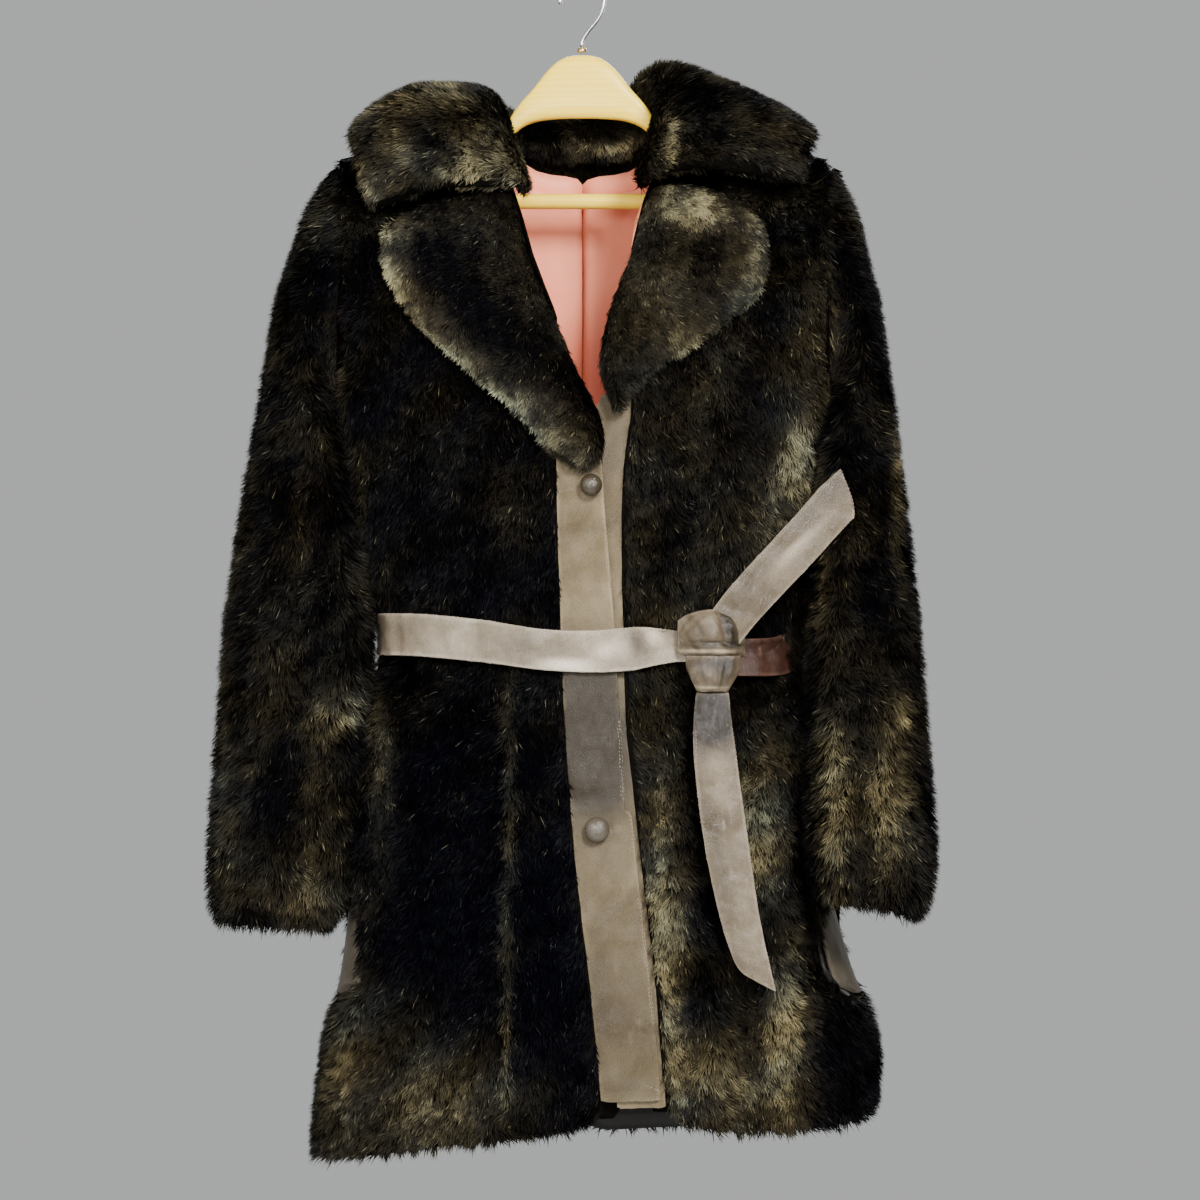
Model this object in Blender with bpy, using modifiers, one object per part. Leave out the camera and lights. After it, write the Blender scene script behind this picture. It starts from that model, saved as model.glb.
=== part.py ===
"""Faux fur coat with a leather placket and a tied leather belt, hung on a wooden hanger.

Metres, +Z up. The front faces -Y. Left and right are as seen from the front, so right is +X.
The origin is the inner top of the hanger's hook, and the coat hangs below it.
"""
import math

import bmesh
import bpy
import numpy as np
from mathutils import Vector

# Thicknesses and gaps
FUR = 0.012  # fur cloth with its pile
SEAM = 0.0004  # gap between two pieces sewn together
LINING = 0.0010
LINING_RAISED = 0.006  # how far the lining ends above the hem
LINING_GAP = 0.0016
LEATHER = 0.0030
PLACKET_DEPTH = 0.0030  # how far the placket's face lies below the fur's tips
UNDER_DEPTH = 0.0080  # the same for the band under the placket
STRIP_DEPTH = 0.0085  # the same for the leather strips at the side seams

# Body: a rounded section that is flatter than an ellipse
SECTION_POWER = 2.3
MIDDLE = 0.001  # x of the middle at the armholes
HALF_CHEST = 0.2065
ARMPIT = -0.385
SHOULDER = -0.156  # shoulder seam at the armhole
NECK = -0.128  # shoulder seam at the neck
NECK_HALF = 0.081
BACK_NECK = -0.165
ARMHOLE_DEPTH = 0.066  # half the armhole's size from front to back
NECK_ROWS = 7
BELT_LEVEL = -0.570
STRIP_POINT = -0.874  # where front and back fur meet below the strip
BELT_REACH = 0.032  # folds fade within this height of the belt
LEVELS = (
    -0.920, STRIP_POINT, -0.858, -0.828, -0.790, -0.745, -0.700, -0.660, -0.625,
    -0.590, -0.568, -0.548, -0.528, -0.500, -0.465, -0.425, ARMPIT,
)
HEM_STEPS = 3
BACK_COLUMNS = (3, 7)

# Hanger
HOOK_RADIUS = 0.0195
HOOK_WIRE = 0.0020
BAR_RADIUS = 0.0073
BAR_LEVEL = -0.1934
BAR_HALF = 0.154
WOOD_HALF_DEPTH = 0.0075

# Belt, knot and buttons
BELT_OUT = 0.0030  # how far the belt's inner face lies outside the fur
STRAP = 0.0028
LOOP_CORD = 0.0015
BUTTON_DEPTH = 0.0140

FRONT = -1
BACK = 1
LEFT = -1
RIGHT = 1

FUR_BLACK = (0.012, 0.010, 0.008)
FUR_BROWN = (0.030, 0.026, 0.018)
TAUPE = (0.30, 0.25, 0.19)
DARK_BROWN = (0.08, 0.055, 0.04)
CORAL = (0.72, 0.22, 0.15)
PALE_WOOD = (0.87, 0.68, 0.33)
WIRE_GREY = (0.75, 0.75, 0.74)
BRASS = (0.65, 0.48, 0.20)
TAN = (0.55, 0.36, 0.17)


def table(names, *rows):
    """A table's columns by name, in rising order of its first column."""
    names = names.split()
    rows = sorted(rows)
    return {name: [row[i] for row in rows] for i, name in enumerate(names)}


def read(columns, name, at):
    """One column's value where the first column is at, on a smooth curve that never overshoots."""
    keys = next(iter(columns.values()))
    values = columns[name]
    if at <= keys[0]:
        return values[0]
    if at >= keys[-1]:
        return values[-1]
    steps = [(b - a) / (q - p) for a, b, p, q in zip(values, values[1:], keys, keys[1:])]
    slopes = [steps[0]]
    for before, after in zip(steps, steps[1:]):
        slopes.append(2 * before * after / (before + after) if before * after > 0 else 0.0)
    slopes.append(steps[-1])
    i = max(k for k, key in enumerate(keys[:-1]) if key <= at)
    width = keys[i + 1] - keys[i]
    t = (at - keys[i]) / width
    return (
        values[i] * (1 + 2 * t) * (1 - t) ** 2
        + values[i + 1] * t * t * (3 - 2 * t)
        + slopes[i] * width * t * (1 - t) ** 2
        - slopes[i + 1] * width * t * t * (1 - t)
    )


# The body's section at each height: its left and right sides, and how far it stands to front and back
BODY = table(
    "z left right front back",
    (-1.030, -0.2360, 0.2520, 0.106, 0.094),
    (-0.990, -0.2364, 0.2560, 0.106, 0.094),
    (-0.950, -0.2312, 0.2600, 0.105, 0.093),
    (-0.913, -0.2278, 0.2615, 0.105, 0.092),
    (-0.880, -0.2220, 0.2545, 0.104, 0.091),
    (-0.858, -0.2160, 0.2430, 0.103, 0.090),
    (-0.815, -0.2105, 0.2300, 0.101, 0.088),
    (-0.776, -0.2060, 0.2200, 0.099, 0.087),
    (-0.725, -0.2008, 0.2125, 0.096, 0.083),
    (-0.690, -0.1957, 0.2080, 0.093, 0.080),
    (-0.645, -0.1870, 0.2010, 0.087, 0.076),
    (-0.620, -0.1800, 0.1930, 0.083, 0.073),
    (-0.592, -0.1725, 0.1840, 0.077, 0.070),
    (-0.568, -0.1700, 0.1805, 0.075, 0.068),
    (-0.536, -0.1755, 0.1885, 0.079, 0.071),
    (-0.520, -0.1815, 0.1915, 0.081, 0.073),
    (-0.485, -0.1920, 0.1955, 0.086, 0.077),
    (-0.440, -0.1990, 0.2020, 0.091, 0.082),
    (-0.385, -0.2055, 0.2075, 0.092, 0.084),
)

# The hem's height around the coat. Angles run from the centre front (0) to the right side (90)
HEM = table(
    "angle z",
    (-90, -1.0060),
    (-70, -1.0085),
    (-50, -1.0010),
    (-30, -0.9895),
    (-12, -0.9790),
    (0, -0.9680),
    (8, -0.9600),
    (16, -0.9680),
    (24, -0.9760),
    (45, -0.9790),
    (65, -0.9780),
    (80, -0.9700),
    (90, -0.9630),
    (110, -0.9720),
    (135, -0.9900),
    (180, -1.0080),
    (225, -1.0120),
    (270, -1.0060),
)

# Soft folds: where, half width in degrees, height out of the cloth, where they begin and are full
FOLDS = (
    (-72, 7, 0.004, -0.66, -0.85),
    (-57, 7, -0.006, -0.62, -0.80),
    (-43, 8, 0.005, -0.62, -0.78),
    (-30, 6, -0.006, -0.60, -0.74),
    (-18, 5, 0.007, -0.59, -0.68),
    (-10, 4, -0.004, -0.59, -0.70),
    (14, 4, -0.004, -0.62, -0.74),
    (23, 6, 0.007, -0.60, -0.76),
    (32, 4, -0.006, -0.60, -0.74),
    (42, 6, 0.006, -0.64, -0.82),
    (56, 6, -0.008, -0.70, -0.92),
    (108, 8, 0.005, -0.62, -0.84),
    (124, 7, -0.007, -0.60, -0.80),
    (141, 8, 0.006, -0.60, -0.78),
    (158, 6, -0.006, -0.60, -0.76),
    (176, 7, 0.007, -0.60, -0.80),
    (196, 7, -0.007, -0.60, -0.78),
    (214, 8, 0.006, -0.60, -0.80),
    (234, 7, -0.007, -0.62, -0.82),
    (252, 8, 0.005, -0.64, -0.84),
    (-42, 8, -0.004, -0.42, -0.52),
    (-24, 7, 0.003, -0.42, -0.52),
    (27, 6, -0.004, -0.40, -0.50),
    (46, 8, 0.004, -0.42, -0.52),
    (150, 8, -0.004, -0.40, -0.52),
    (170, 8, 0.004, -0.42, -0.52),
    (205, 9, -0.004, -0.40, -0.52),
)

# How far each side strip reaches to the front of the side seam, in degrees; half as far behind
STRIP = table(
    "z angle",
    (-0.858, 26),
    (-0.810, 25),
    (-0.750, 24),
    (-0.690, 22),
    (-0.640, 16),
    (-0.590, 8),
)
STRIP_LEVELS = (-0.858, -0.828, -0.790, -0.745, -0.700, -0.660, -0.625, -0.592)

# The front edges of the neck, where the collar and the lapels roll out
ROLL_LEFT = table(
    "x z",
    (-0.0795, -0.1280),
    (-0.0672, -0.1500),
    (-0.0548, -0.1985),
    (-0.0465, -0.2384),
    (-0.0341, -0.2715),
    (-0.0210, -0.3010),
)
ROLL_RIGHT = table(
    "x z",
    (0.0440, -0.2410),
    (0.0490, -0.2280),
    (0.0545, -0.1950),
    (0.0660, -0.1550),
    (0.0815, -0.1280),
)

# The placket and the band that it buttons over: their two edges at each height
PLACKET = table(
    "z left right",
    (-0.9510, 0.0160, 0.0660),
    (-0.9090, 0.0125, 0.0636),
    (-0.8590, 0.0072, 0.0580),
    (-0.8100, 0.0014, 0.0528),
    (-0.7600, -0.0052, 0.0465),
    (-0.7130, -0.0090, 0.0425),
    (-0.7100, -0.0092, 0.0362),
    (-0.6600, -0.0130, 0.0337),
    (-0.6107, -0.0160, 0.0308),
    (-0.5610, -0.0176, 0.0279),
    (-0.5100, -0.0192, 0.0238),
    (-0.4600, -0.0208, 0.0190),
    (-0.4300, -0.0210, 0.0175),
    (-0.3950, -0.0210, 0.0160),
    (-0.3620, -0.0210, 0.0020),
)
UNDER = table(
    "z left right",
    (-0.9570, 0.0300, 0.0712),
    (-0.9090, 0.0252, 0.0676),
    (-0.8590, 0.0200, 0.0640),
    (-0.8100, 0.0140, 0.0585),
    (-0.7600, 0.0070, 0.0520),
    (-0.7130, 0.0030, 0.0478),
    (-0.6600, -0.0010, 0.0410),
    (-0.6107, -0.0040, 0.0384),
    (-0.5610, -0.0060, 0.0366),
    (-0.5100, -0.0070, 0.0360),
    (-0.4600, -0.0080, 0.0360),
    (-0.4250, -0.0080, 0.0366),
    (-0.3850, 0.0080, 0.0436),
    (-0.3640, 0.0180, 0.0436),
)

# Each lapel's rows, from the gorge to the tip: the roll edge, the outer edge, and how much the row
# bows upward
LAPEL_COLUMNS = "roll_x roll_z edge_x edge_z bow"
LAPEL_LEFT = (
    (-0.0545, -0.2010, -0.1690, -0.2320, 0.0130),
    (-0.0500, -0.2230, -0.1665, -0.2590, 0.0060),
    (-0.0440, -0.2480, -0.1530, -0.2860, 0.0020),
    (-0.0341, -0.2715, -0.1328, -0.3096, 0.0),
    (-0.0220, -0.2990, -0.1080, -0.3310, 0.0),
    (-0.0110, -0.3230, -0.0833, -0.3533, 0.0),
    (0.0020, -0.3510, -0.0586, -0.3720, 0.0),
    (0.0130, -0.3700, -0.0420, -0.3920, 0.0),
    (0.0215, -0.3920, -0.0298, -0.4084, 0.0),
    (0.0220, -0.4090, -0.0140, -0.4210, 0.0),
    (0.0165, -0.4220, 0.0040, -0.4280, 0.0),
)
LAPEL_RIGHT = (
    (0.0540, -0.1985, 0.1480, -0.2210, 0.0130),
    (0.0510, -0.2190, 0.1560, -0.2370, 0.0050),
    (0.0420, -0.2440, 0.1545, -0.2610, 0.0),
    (0.0330, -0.2632, 0.1489, -0.2808, 0.0),
    (0.0255, -0.2820, 0.1308, -0.2973, 0.0),
    (0.0195, -0.2990, 0.1102, -0.3120, 0.0),
    (0.0150, -0.3170, 0.0896, -0.3261, 0.0),
    (0.0125, -0.3350, 0.0670, -0.3400, 0.0),
    (0.0140, -0.3510, 0.0500, -0.3520, 0.0),
    (0.0200, -0.3660, 0.0400, -0.3650, 0.0),
    (0.0265, -0.3800, 0.0330, -0.3780, 0.0),
)
LAPEL_THICK = 0.022

# The collar's sections, from the gorge round to the centre back: where it is sewn to the neck,
# the top of the roll, the middle of the fall, the outer edge, and its thickness at the roll and fall
COLLAR_LEFT = (
    ((-0.0465, -0.060, -0.1930), (-0.0520, -0.090, -0.1860), (-0.112, -0.097, -0.1830),
     (-0.172, -0.090, -0.2050), 0.020, 0.024),
    ((-0.0580, -0.048, -0.1600), (-0.0640, -0.072, -0.1500), (-0.130, -0.086, -0.1530),
     (-0.184, -0.072, -0.1780), 0.022, 0.030),
    ((-0.0660, -0.026, -0.1300), (-0.0780, -0.042, -0.1140), (-0.140, -0.054, -0.1210),
     (-0.192, -0.042, -0.1500), 0.022, 0.036),
    ((-0.0690, 0.004, -0.1170), (-0.0820, 0.000, -0.1020), (-0.143, 0.000, -0.1090),
     (-0.193, 0.000, -0.1290), 0.022, 0.036),
    ((-0.0620, 0.030, -0.1290), (-0.0760, 0.038, -0.1050), (-0.125, 0.055, -0.1250),
     (-0.170, 0.064, -0.1650), 0.020, 0.032),
    ((-0.0400, 0.036, -0.1530), (-0.0480, 0.054, -0.1150), (-0.078, 0.086, -0.1460),
     (-0.100, 0.090, -0.2120), 0.017, 0.024),
    ((-0.0004, 0.038, -0.1590), (-0.0004, 0.057, -0.1180), (-0.0004, 0.087, -0.1530),
     (-0.0004, 0.094, -0.2300), 0.016, 0.020),
)
COLLAR_RIGHT = (
    ((0.0480, -0.060, -0.1890), (0.0540, -0.090, -0.1800), (0.116, -0.097, -0.1720),
     (0.178, -0.086, -0.1840), 0.020, 0.026),
    ((0.0590, -0.048, -0.1580), (0.0650, -0.072, -0.1440), (0.132, -0.086, -0.1460),
     (0.187, -0.068, -0.1640), 0.022, 0.032),
    ((0.0670, -0.026, -0.1290), (0.0740, -0.040, -0.0990), (0.132, -0.052, -0.1190),
     (0.194, -0.038, -0.1460), 0.022, 0.036),
    ((0.0700, 0.004, -0.1150), (0.0710, 0.000, -0.0780), (0.130, 0.000, -0.1110),
     (0.194, 0.000, -0.1320), 0.022, 0.036),
    ((0.0580, 0.026, -0.1270), (0.0600, 0.038, -0.0720), (0.114, 0.060, -0.1170),
     (0.168, 0.068, -0.1600), 0.019, 0.032),
    ((0.0380, 0.034, -0.1530), (0.0380, 0.054, -0.0960), (0.078, 0.090, -0.1380),
     (0.100, 0.092, -0.2100), 0.017, 0.024),
    ((0.0004, 0.038, -0.1590), (0.0004, 0.057, -0.1180), (0.0004, 0.087, -0.1530),
     (0.0004, 0.094, -0.2300), 0.016, 0.020),
)
COLLAR_BASE = 0.010  # thickness where the collar is sewn to the neck
COLLAR_STEPS = 2  # rows of points between two sections
COLLAR_ACROSS = 11  # points across the collar on each face

# Each sleeve's rings: the outer and inner ends of the section, its middle y and its half depth
SLEEVE_LEFT = (
    (-0.2059, -0.1560, -0.2059, -0.3850, 0.000, 0.066),
    (-0.2230, -0.1590, -0.2085, -0.3865, -0.001, 0.067),
    (-0.2385, -0.1820, -0.2100, -0.3885, -0.002, 0.068),
    (-0.2510, -0.2080, -0.2105, -0.3915, -0.004, 0.068),
    (-0.2590, -0.2380, -0.2100, -0.3955, -0.006, 0.067),
    (-0.2672, -0.2720, -0.2088, -0.4010, -0.008, 0.066),
    (-0.2741, -0.3140, -0.2060, -0.4090, -0.010, 0.064),
    (-0.2806, -0.3600, -0.2022, -0.4220, -0.012, 0.062),
    (-0.2886, -0.4050, -0.1982, -0.4420, -0.014, 0.060),
    (-0.2972, -0.4500, -0.1934, -0.4680, -0.016, 0.058),
    (-0.3040, -0.4950, -0.1865, -0.5020, -0.018, 0.056),
    (-0.3100, -0.5400, -0.1818, -0.5420, -0.020, 0.054),
    (-0.3152, -0.5900, -0.1812, -0.5900, -0.021, 0.052),
    (-0.3186, -0.6400, -0.1850, -0.6400, -0.022, 0.050),
    (-0.3220, -0.6900, -0.1935, -0.6900, -0.022, 0.048),
    (-0.3255, -0.7350, -0.1990, -0.7350, -0.022, 0.047),
    (-0.3275, -0.7760, -0.2035, -0.7760, -0.022, 0.046),
    (-0.3250, -0.8010, -0.2070, -0.8040, -0.022, 0.045),
    (-0.3180, -0.8130, -0.2080, -0.8150, -0.022, 0.042),
)
SLEEVE_RIGHT = (
    (0.2079, -0.1560, 0.2079, -0.3850, 0.000, 0.066),
    (0.2230, -0.1600, 0.2100, -0.3865, -0.001, 0.067),
    (0.2360, -0.1760, 0.2112, -0.3885, -0.003, 0.068),
    (0.2450, -0.1990, 0.2118, -0.3915, -0.006, 0.068),
    (0.2520, -0.2270, 0.2115, -0.3955, -0.010, 0.067),
    (0.2570, -0.2650, 0.2106, -0.4010, -0.014, 0.066),
    (0.2625, -0.3080, 0.2084, -0.4090, -0.018, 0.065),
    (0.2690, -0.3520, 0.2056, -0.4220, -0.023, 0.064),
    (0.2745, -0.3980, 0.2026, -0.4420, -0.028, 0.063),
    (0.2800, -0.4460, 0.1998, -0.4680, -0.033, 0.062),
    (0.2850, -0.4930, 0.1972, -0.5020, -0.039, 0.061),
    (0.2905, -0.5400, 0.1950, -0.5420, -0.046, 0.060),
    (0.2940, -0.5900, 0.1946, -0.5900, -0.054, 0.058),
    (0.2970, -0.6400, 0.1965, -0.6380, -0.062, 0.056),
    (0.3003, -0.6950, 0.1990, -0.6850, -0.070, 0.054),
    (0.3040, -0.7400, 0.2000, -0.7250, -0.076, 0.053),
    (0.3020, -0.7750, 0.2000, -0.7520, -0.079, 0.052),
    (0.2950, -0.7980, 0.2040, -0.7720, -0.080, 0.050),
    (0.2860, -0.8060, 0.2090, -0.7800, -0.080, 0.047),
)
SLEEVE_SIDES = 14
SLEEVE_WAVES = 0.0022  # height of the sleeve's soft lengthwise folds

# The belt's middle height and width around the coat
BELT = table(
    "angle z width",
    (-90, -0.5655, 0.0375),
    (-60, -0.5650, 0.0370),
    (-30, -0.5700, 0.0365),
    (-8, -0.5790, 0.0350),
    (4, -0.5795, 0.0365),
    (18, -0.5750, 0.0375),
    (40, -0.5850, 0.0330),
    (60, -0.5850, 0.0330),
    (90, -0.5700, 0.0375),
    (180, -0.5670, 0.0375),
    (270, -0.5655, 0.0375),
)
BELT_LEFT_OF_KNOT = 24.0
BELT_RIGHT_OF_KNOT = 45.0
BELT_PIECES = 44

# The knot, the tails and the wooden hanger: rows along each
KNOT_WRAP = (  # x, middle y, middle z, half depth, half height
    (0.0800, -0.0830, -0.5660, 0.0050, 0.0130),
    (0.0860, -0.0885, -0.5655, 0.0110, 0.0175),
    (0.0960, -0.0920, -0.5640, 0.0160, 0.0195),
    (0.1080, -0.0925, -0.5630, 0.0175, 0.0205),
    (0.1200, -0.0905, -0.5640, 0.0160, 0.0195),
    (0.1300, -0.0865, -0.5680, 0.0120, 0.0165),
    (0.1360, -0.0820, -0.5720, 0.0060, 0.0115),
)
KNOT_THROAT = (  # z, middle x, middle y, half width, half depth
    (-0.5862, 0.1095, -0.0900, 0.0235, 0.0100),
    (-0.5920, 0.1095, -0.0910, 0.0240, 0.0125),
    (-0.6000, 0.1095, -0.0915, 0.0200, 0.0120),
    (-0.6070, 0.1090, -0.0915, 0.0160, 0.0095),
    (-0.6118, 0.1088, -0.0910, 0.0135, 0.0065),
)
TAIL_UP = (  # left edge x, z; right edge x, z; y
    (0.1150, -0.5375, 0.1400, -0.5625, -0.0970),
    (0.1240, -0.5200, 0.1500, -0.5440, -0.1000),
    (0.1400, -0.4980, 0.1680, -0.5220, -0.1010),
    (0.1640, -0.4740, 0.1900, -0.5000, -0.0990),
    (0.1890, -0.4510, 0.2110, -0.4810, -0.0965),
    (0.2080, -0.4330, 0.2265, -0.4680, -0.0945),
    (0.2150, -0.4270, 0.2262, -0.4560, -0.0940),
)
TAIL_DOWN = (
    (0.0952, -0.6125, 0.1222, -0.6125, -0.0930),
    (0.0930, -0.6300, 0.1240, -0.6300, -0.0960),
    (0.0921, -0.6500, 0.1270, -0.6550, -0.0990),
    (0.0945, -0.6850, 0.1315, -0.6900, -0.1010),
    (0.0990, -0.7200, 0.1370, -0.7280, -0.1020),
    (0.1045, -0.7550, 0.1420, -0.7650, -0.1030),
    (0.1120, -0.7900, 0.1475, -0.8000, -0.1030),
    (0.1200, -0.8180, 0.1545, -0.8330, -0.1020),
    (0.1290, -0.8430, 0.1613, -0.8606, -0.1010),
)
WOOD = table(
    "x top bottom",
    (0.0000, -0.0665, -0.1230),
    (0.0120, -0.0675, -0.1230),
    (0.0220, -0.0725, -0.1235),
    (0.0310, -0.0815, -0.1240),
    (0.0410, -0.0955, -0.1255),
    (0.0520, -0.1070, -0.1300),
    (0.0600, -0.1175, -0.1380),
    (0.0670, -0.1320, -0.1470),
    (0.0730, -0.1475, -0.1560),
    (0.0830, -0.1510, -0.1610),
    (0.1000, -0.1525, -0.1670),
    (0.1300, -0.1565, -0.1750),
    (0.1550, -0.1620, -0.1850),
    (0.1640, -0.1650, -0.2020),
    (0.1780, -0.1700, -0.2070),
    (0.1900, -0.1790, -0.2040),
    (0.1960, -0.1860, -0.1980),
)
WOOD_STATIONS = (
    0.0, 0.012, 0.022, 0.031, 0.041, 0.052, 0.060, 0.067, 0.073, 0.083, 0.100, 0.130, 0.155, 0.164,
    0.178, 0.190, 0.196,
)


def clear_scene():
    for ob in list(bpy.data.objects):
        bpy.data.objects.remove(ob)


def make_material(name, colour, roughness, metallic=0.0):
    mat = bpy.data.materials.new(name)
    mat.use_nodes = True
    shader = mat.node_tree.nodes["Principled BSDF"]
    shader.inputs["Base Color"].default_value = (*colour, 1.0)
    shader.inputs["Roughness"].default_value = roughness
    shader.inputs["Metallic"].default_value = metallic
    return mat


def add_object(name, data, mat, collection):
    ob = bpy.data.objects.new(name, data)
    ob.data.materials.append(mat)
    collection.objects.link(ob)
    return ob


def mesh_from(name, points, faces):
    """A smooth mesh whose faces point outward."""
    mesh = bpy.data.meshes.new(name)
    mesh.from_pydata([tuple(p) for p in points], [], faces)
    shape = bmesh.new()
    shape.from_mesh(mesh)
    bmesh.ops.recalc_face_normals(shape, faces=shape.faces)
    shape.to_mesh(mesh)
    shape.free()
    mesh.shade_smooth()
    mesh.set_sharp_from_angle(angle=math.radians(50))
    return mesh


def smooth_step(t):
    t = min(max(t, 0.0), 1.0)
    return t * t * (3 - 2 * t)


def unit(vector):
    return vector / np.linalg.norm(vector)


# ---------------------------------------------------------------- the body's surface


def power_round(q):
    """Half of the body's rounded section: 1 in the middle, 0 at the side."""
    return (1.0 - min(abs(q), 1.0) ** SECTION_POWER) ** (1.0 / SECTION_POWER)


def section(z, face):
    """The body's middle x, half width and depth at a height."""
    z = min(z, ARMPIT)
    left, right = read(BODY, "left", z), read(BODY, "right", z)
    depth = read(BODY, "front" if face == FRONT else "back", z)
    return (left + right) / 2, (right - left) / 2, depth


def shoulder_line(x):
    """Height of the shoulder seam, level inside the neck."""
    out = max(abs(x - MIDDLE) - NECK_HALF, 0.0)
    return NECK + (SHOULDER - NECK) * out / (HALF_CHEST - NECK_HALF)


def body_depth(x, z, face):
    """How far the body stands to the front or the back at x and z."""
    middle, half, depth = section(z, face)
    q = (x - middle) / half
    if z <= ARMPIT:
        return depth * power_round(q)
    rise = min((z - ARMPIT) / (shoulder_line(x) - ARMPIT), 1.0)
    armhole = ARMHOLE_DEPTH * 2 * math.sqrt(rise * (1 - rise))
    centre = depth * math.sqrt(1 - rise ** 2.6)
    return armhole + (centre - armhole) * power_round(q)


def ring_direction(x, z, face):
    """Outward direction on the sections up to the armpits."""
    z = min(z, ARMPIT - 0.001)
    middle, half, depth = section(z, face)
    upper = section(z + 0.001, face)
    lower = section(z - 0.001, face)
    q = min(max((x - middle) / half, -1.0), 1.0)
    r = power_round(q)
    power = SECTION_POWER - 1
    widening = (upper[1] - lower[1]) / 0.002
    deepening = (upper[2] - lower[2]) / 0.002
    return unit(np.array((
        math.copysign(abs(q) ** power, q) / half,
        face * r ** power / depth,
        -(abs(q) ** SECTION_POWER * widening / half + r ** SECTION_POWER * deepening / depth),
    )))


def upper_direction(x, z, face):
    """Outward direction between the armpits and the shoulders."""
    step = 0.001
    reach = 0.90 * HALF_CHEST
    x = MIDDLE + min(max(x - MIDDLE, -reach), reach)
    z = min(z, shoulder_line(x) - 2 * step)
    across = body_depth(x + step, z, face) - body_depth(x - step, z, face)
    up = body_depth(x, z + step, face) - body_depth(x, z - step, face)
    return unit(np.array((-across / (2 * step), face, -up / (2 * step))))


def outward(x, z, face):
    if z <= ARMPIT:
        return ring_direction(x, z, face)
    rise = (z - ARMPIT) / (shoulder_line(x) - ARMPIT)
    if rise > 0.999:
        slope = (NECK - SHOULDER) / (HALF_CHEST - NECK_HALF)
        return unit(np.array((math.copysign(slope, x - MIDDLE), 0.0, 1.0)))
    share = smooth_step(rise / 0.2)
    return unit(ring_direction(x, z, face) * (1 - share) + upper_direction(x, z, face) * share)


def body_angle(x, z, face):
    """Angle around the coat, from the centre front to the right side and on."""
    middle, half, _ = section(z, face)
    angle = math.degrees(math.asin(min(max((x - middle) / half, -1.0), 1.0)))
    return angle if face == FRONT else 180.0 - angle


def fold_height(angle, z):
    height = 0.0
    for where, width, size, top, full in FOLDS:
        away = (angle - where + 180.0) % 360.0 - 180.0
        if z < top:
            height += size * math.exp(-((away / width) ** 2)) * smooth_step((top - z) / (top - full))
    return height * (1 - math.exp(-(((z - BELT_LEVEL) / BELT_REACH) ** 2)))


def on_body(x, z, face, out=0.0):
    """A point on the fur's outer surface at x and z, or out of it along its outward direction."""
    surface = np.array((x, face * body_depth(x, z, face), z))
    lift = fold_height(body_angle(x, z, face), z) if z < ARMPIT else 0.0
    return surface + outward(x, z, face) * (lift + out)


def around_body(angle, z, out=0.0):
    """A point of the body at an angle around the coat."""
    angle = (angle + 90.0) % 360.0 - 90.0
    face = FRONT if angle <= 90.0 else BACK
    middle, half, _ = section(z, face)
    return on_body(middle + half * math.sin(math.radians(angle)), z, face, out)


# ---------------------------------------------------------------- walls


def wall(name, outer, inner):
    """A closed sheet between two grids of points, given as rows."""
    rows, columns = len(outer), len(outer[0])
    points = [p for row in outer for p in row] + [p for row in inner for p in row]
    back = rows * columns

    def at(row, column):
        return row * columns + column

    faces = []
    for r in range(rows - 1):
        for c in range(columns - 1):
            a, b, d, e = at(r, c), at(r, c + 1), at(r + 1, c + 1), at(r + 1, c)
            for face in ((a, b, d), (a, d, e)):
                faces.append(face)
                faces.append(tuple(back + i for i in reversed(face)))
    rim = [at(0, c) for c in range(columns)] + [at(r, columns - 1) for r in range(1, rows)]
    rim += [at(rows - 1, c) for c in range(columns - 2, -1, -1)]
    rim += [at(r, 0) for r in range(rows - 2, 0, -1)]
    for a, b in zip(rim, rim[1:] + rim[:1]):
        faces.append((b, a, back + a, back + b))
    return mesh_from(name, points, faces)


def tube(name, outer, inner):
    """A closed wall between two lofted rings of points, open at both ends."""
    rows, sides = len(outer), len(outer[0])
    points = [p for row in outer for p in row] + [p for row in inner for p in row]
    back = rows * sides
    faces = []
    for r in range(rows - 1):
        for c in range(sides):
            d = (c + 1) % sides
            e, f = (r + 1) * sides + d, (r + 1) * sides + c
            for face in ((r * sides + c, r * sides + d, e), (r * sides + c, e, f)):
                faces.append(face)
                faces.append(tuple(back + i for i in reversed(face)))
    for r in (0, rows - 1):
        for c in range(sides):
            d = (c + 1) % sides
            a, b = r * sides + c, r * sides + d
            faces.append((a, b, back + b, back + a) if r else (b, a, back + a, back + b))
    return mesh_from(name, points, faces)


def loft(name, rings):
    """A closed solid through rings of points, with flat ends."""
    sides = len(rings[0])
    points = [p for ring in rings for p in ring]
    faces = [tuple(range(sides)), tuple(range(len(points) - 1, len(points) - sides - 1, -1))]
    for r in range(len(rings) - 1):
        for c in range(sides):
            d = (c + 1) % sides
            faces.append((r * sides + c, (r + 1) * sides + c, (r + 1) * sides + d, r * sides + d))
    return mesh_from(name, points, faces)


# ---------------------------------------------------------------- fronts and backs


def neck_edge(x, side, face):
    """Height of a panel's top edge: the neckline near the middle, and the shoulder seam."""
    away = abs(x - MIDDLE)
    if away >= NECK_HALF - 0.0005:
        return shoulder_line(x)
    if face == BACK:
        return BACK_NECK + (NECK - BACK_NECK) * smooth_step((away - 0.045) / (NECK_HALF - 0.045))
    return read(ROLL_LEFT if side == LEFT else ROLL_RIGHT, "z", x)


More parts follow.
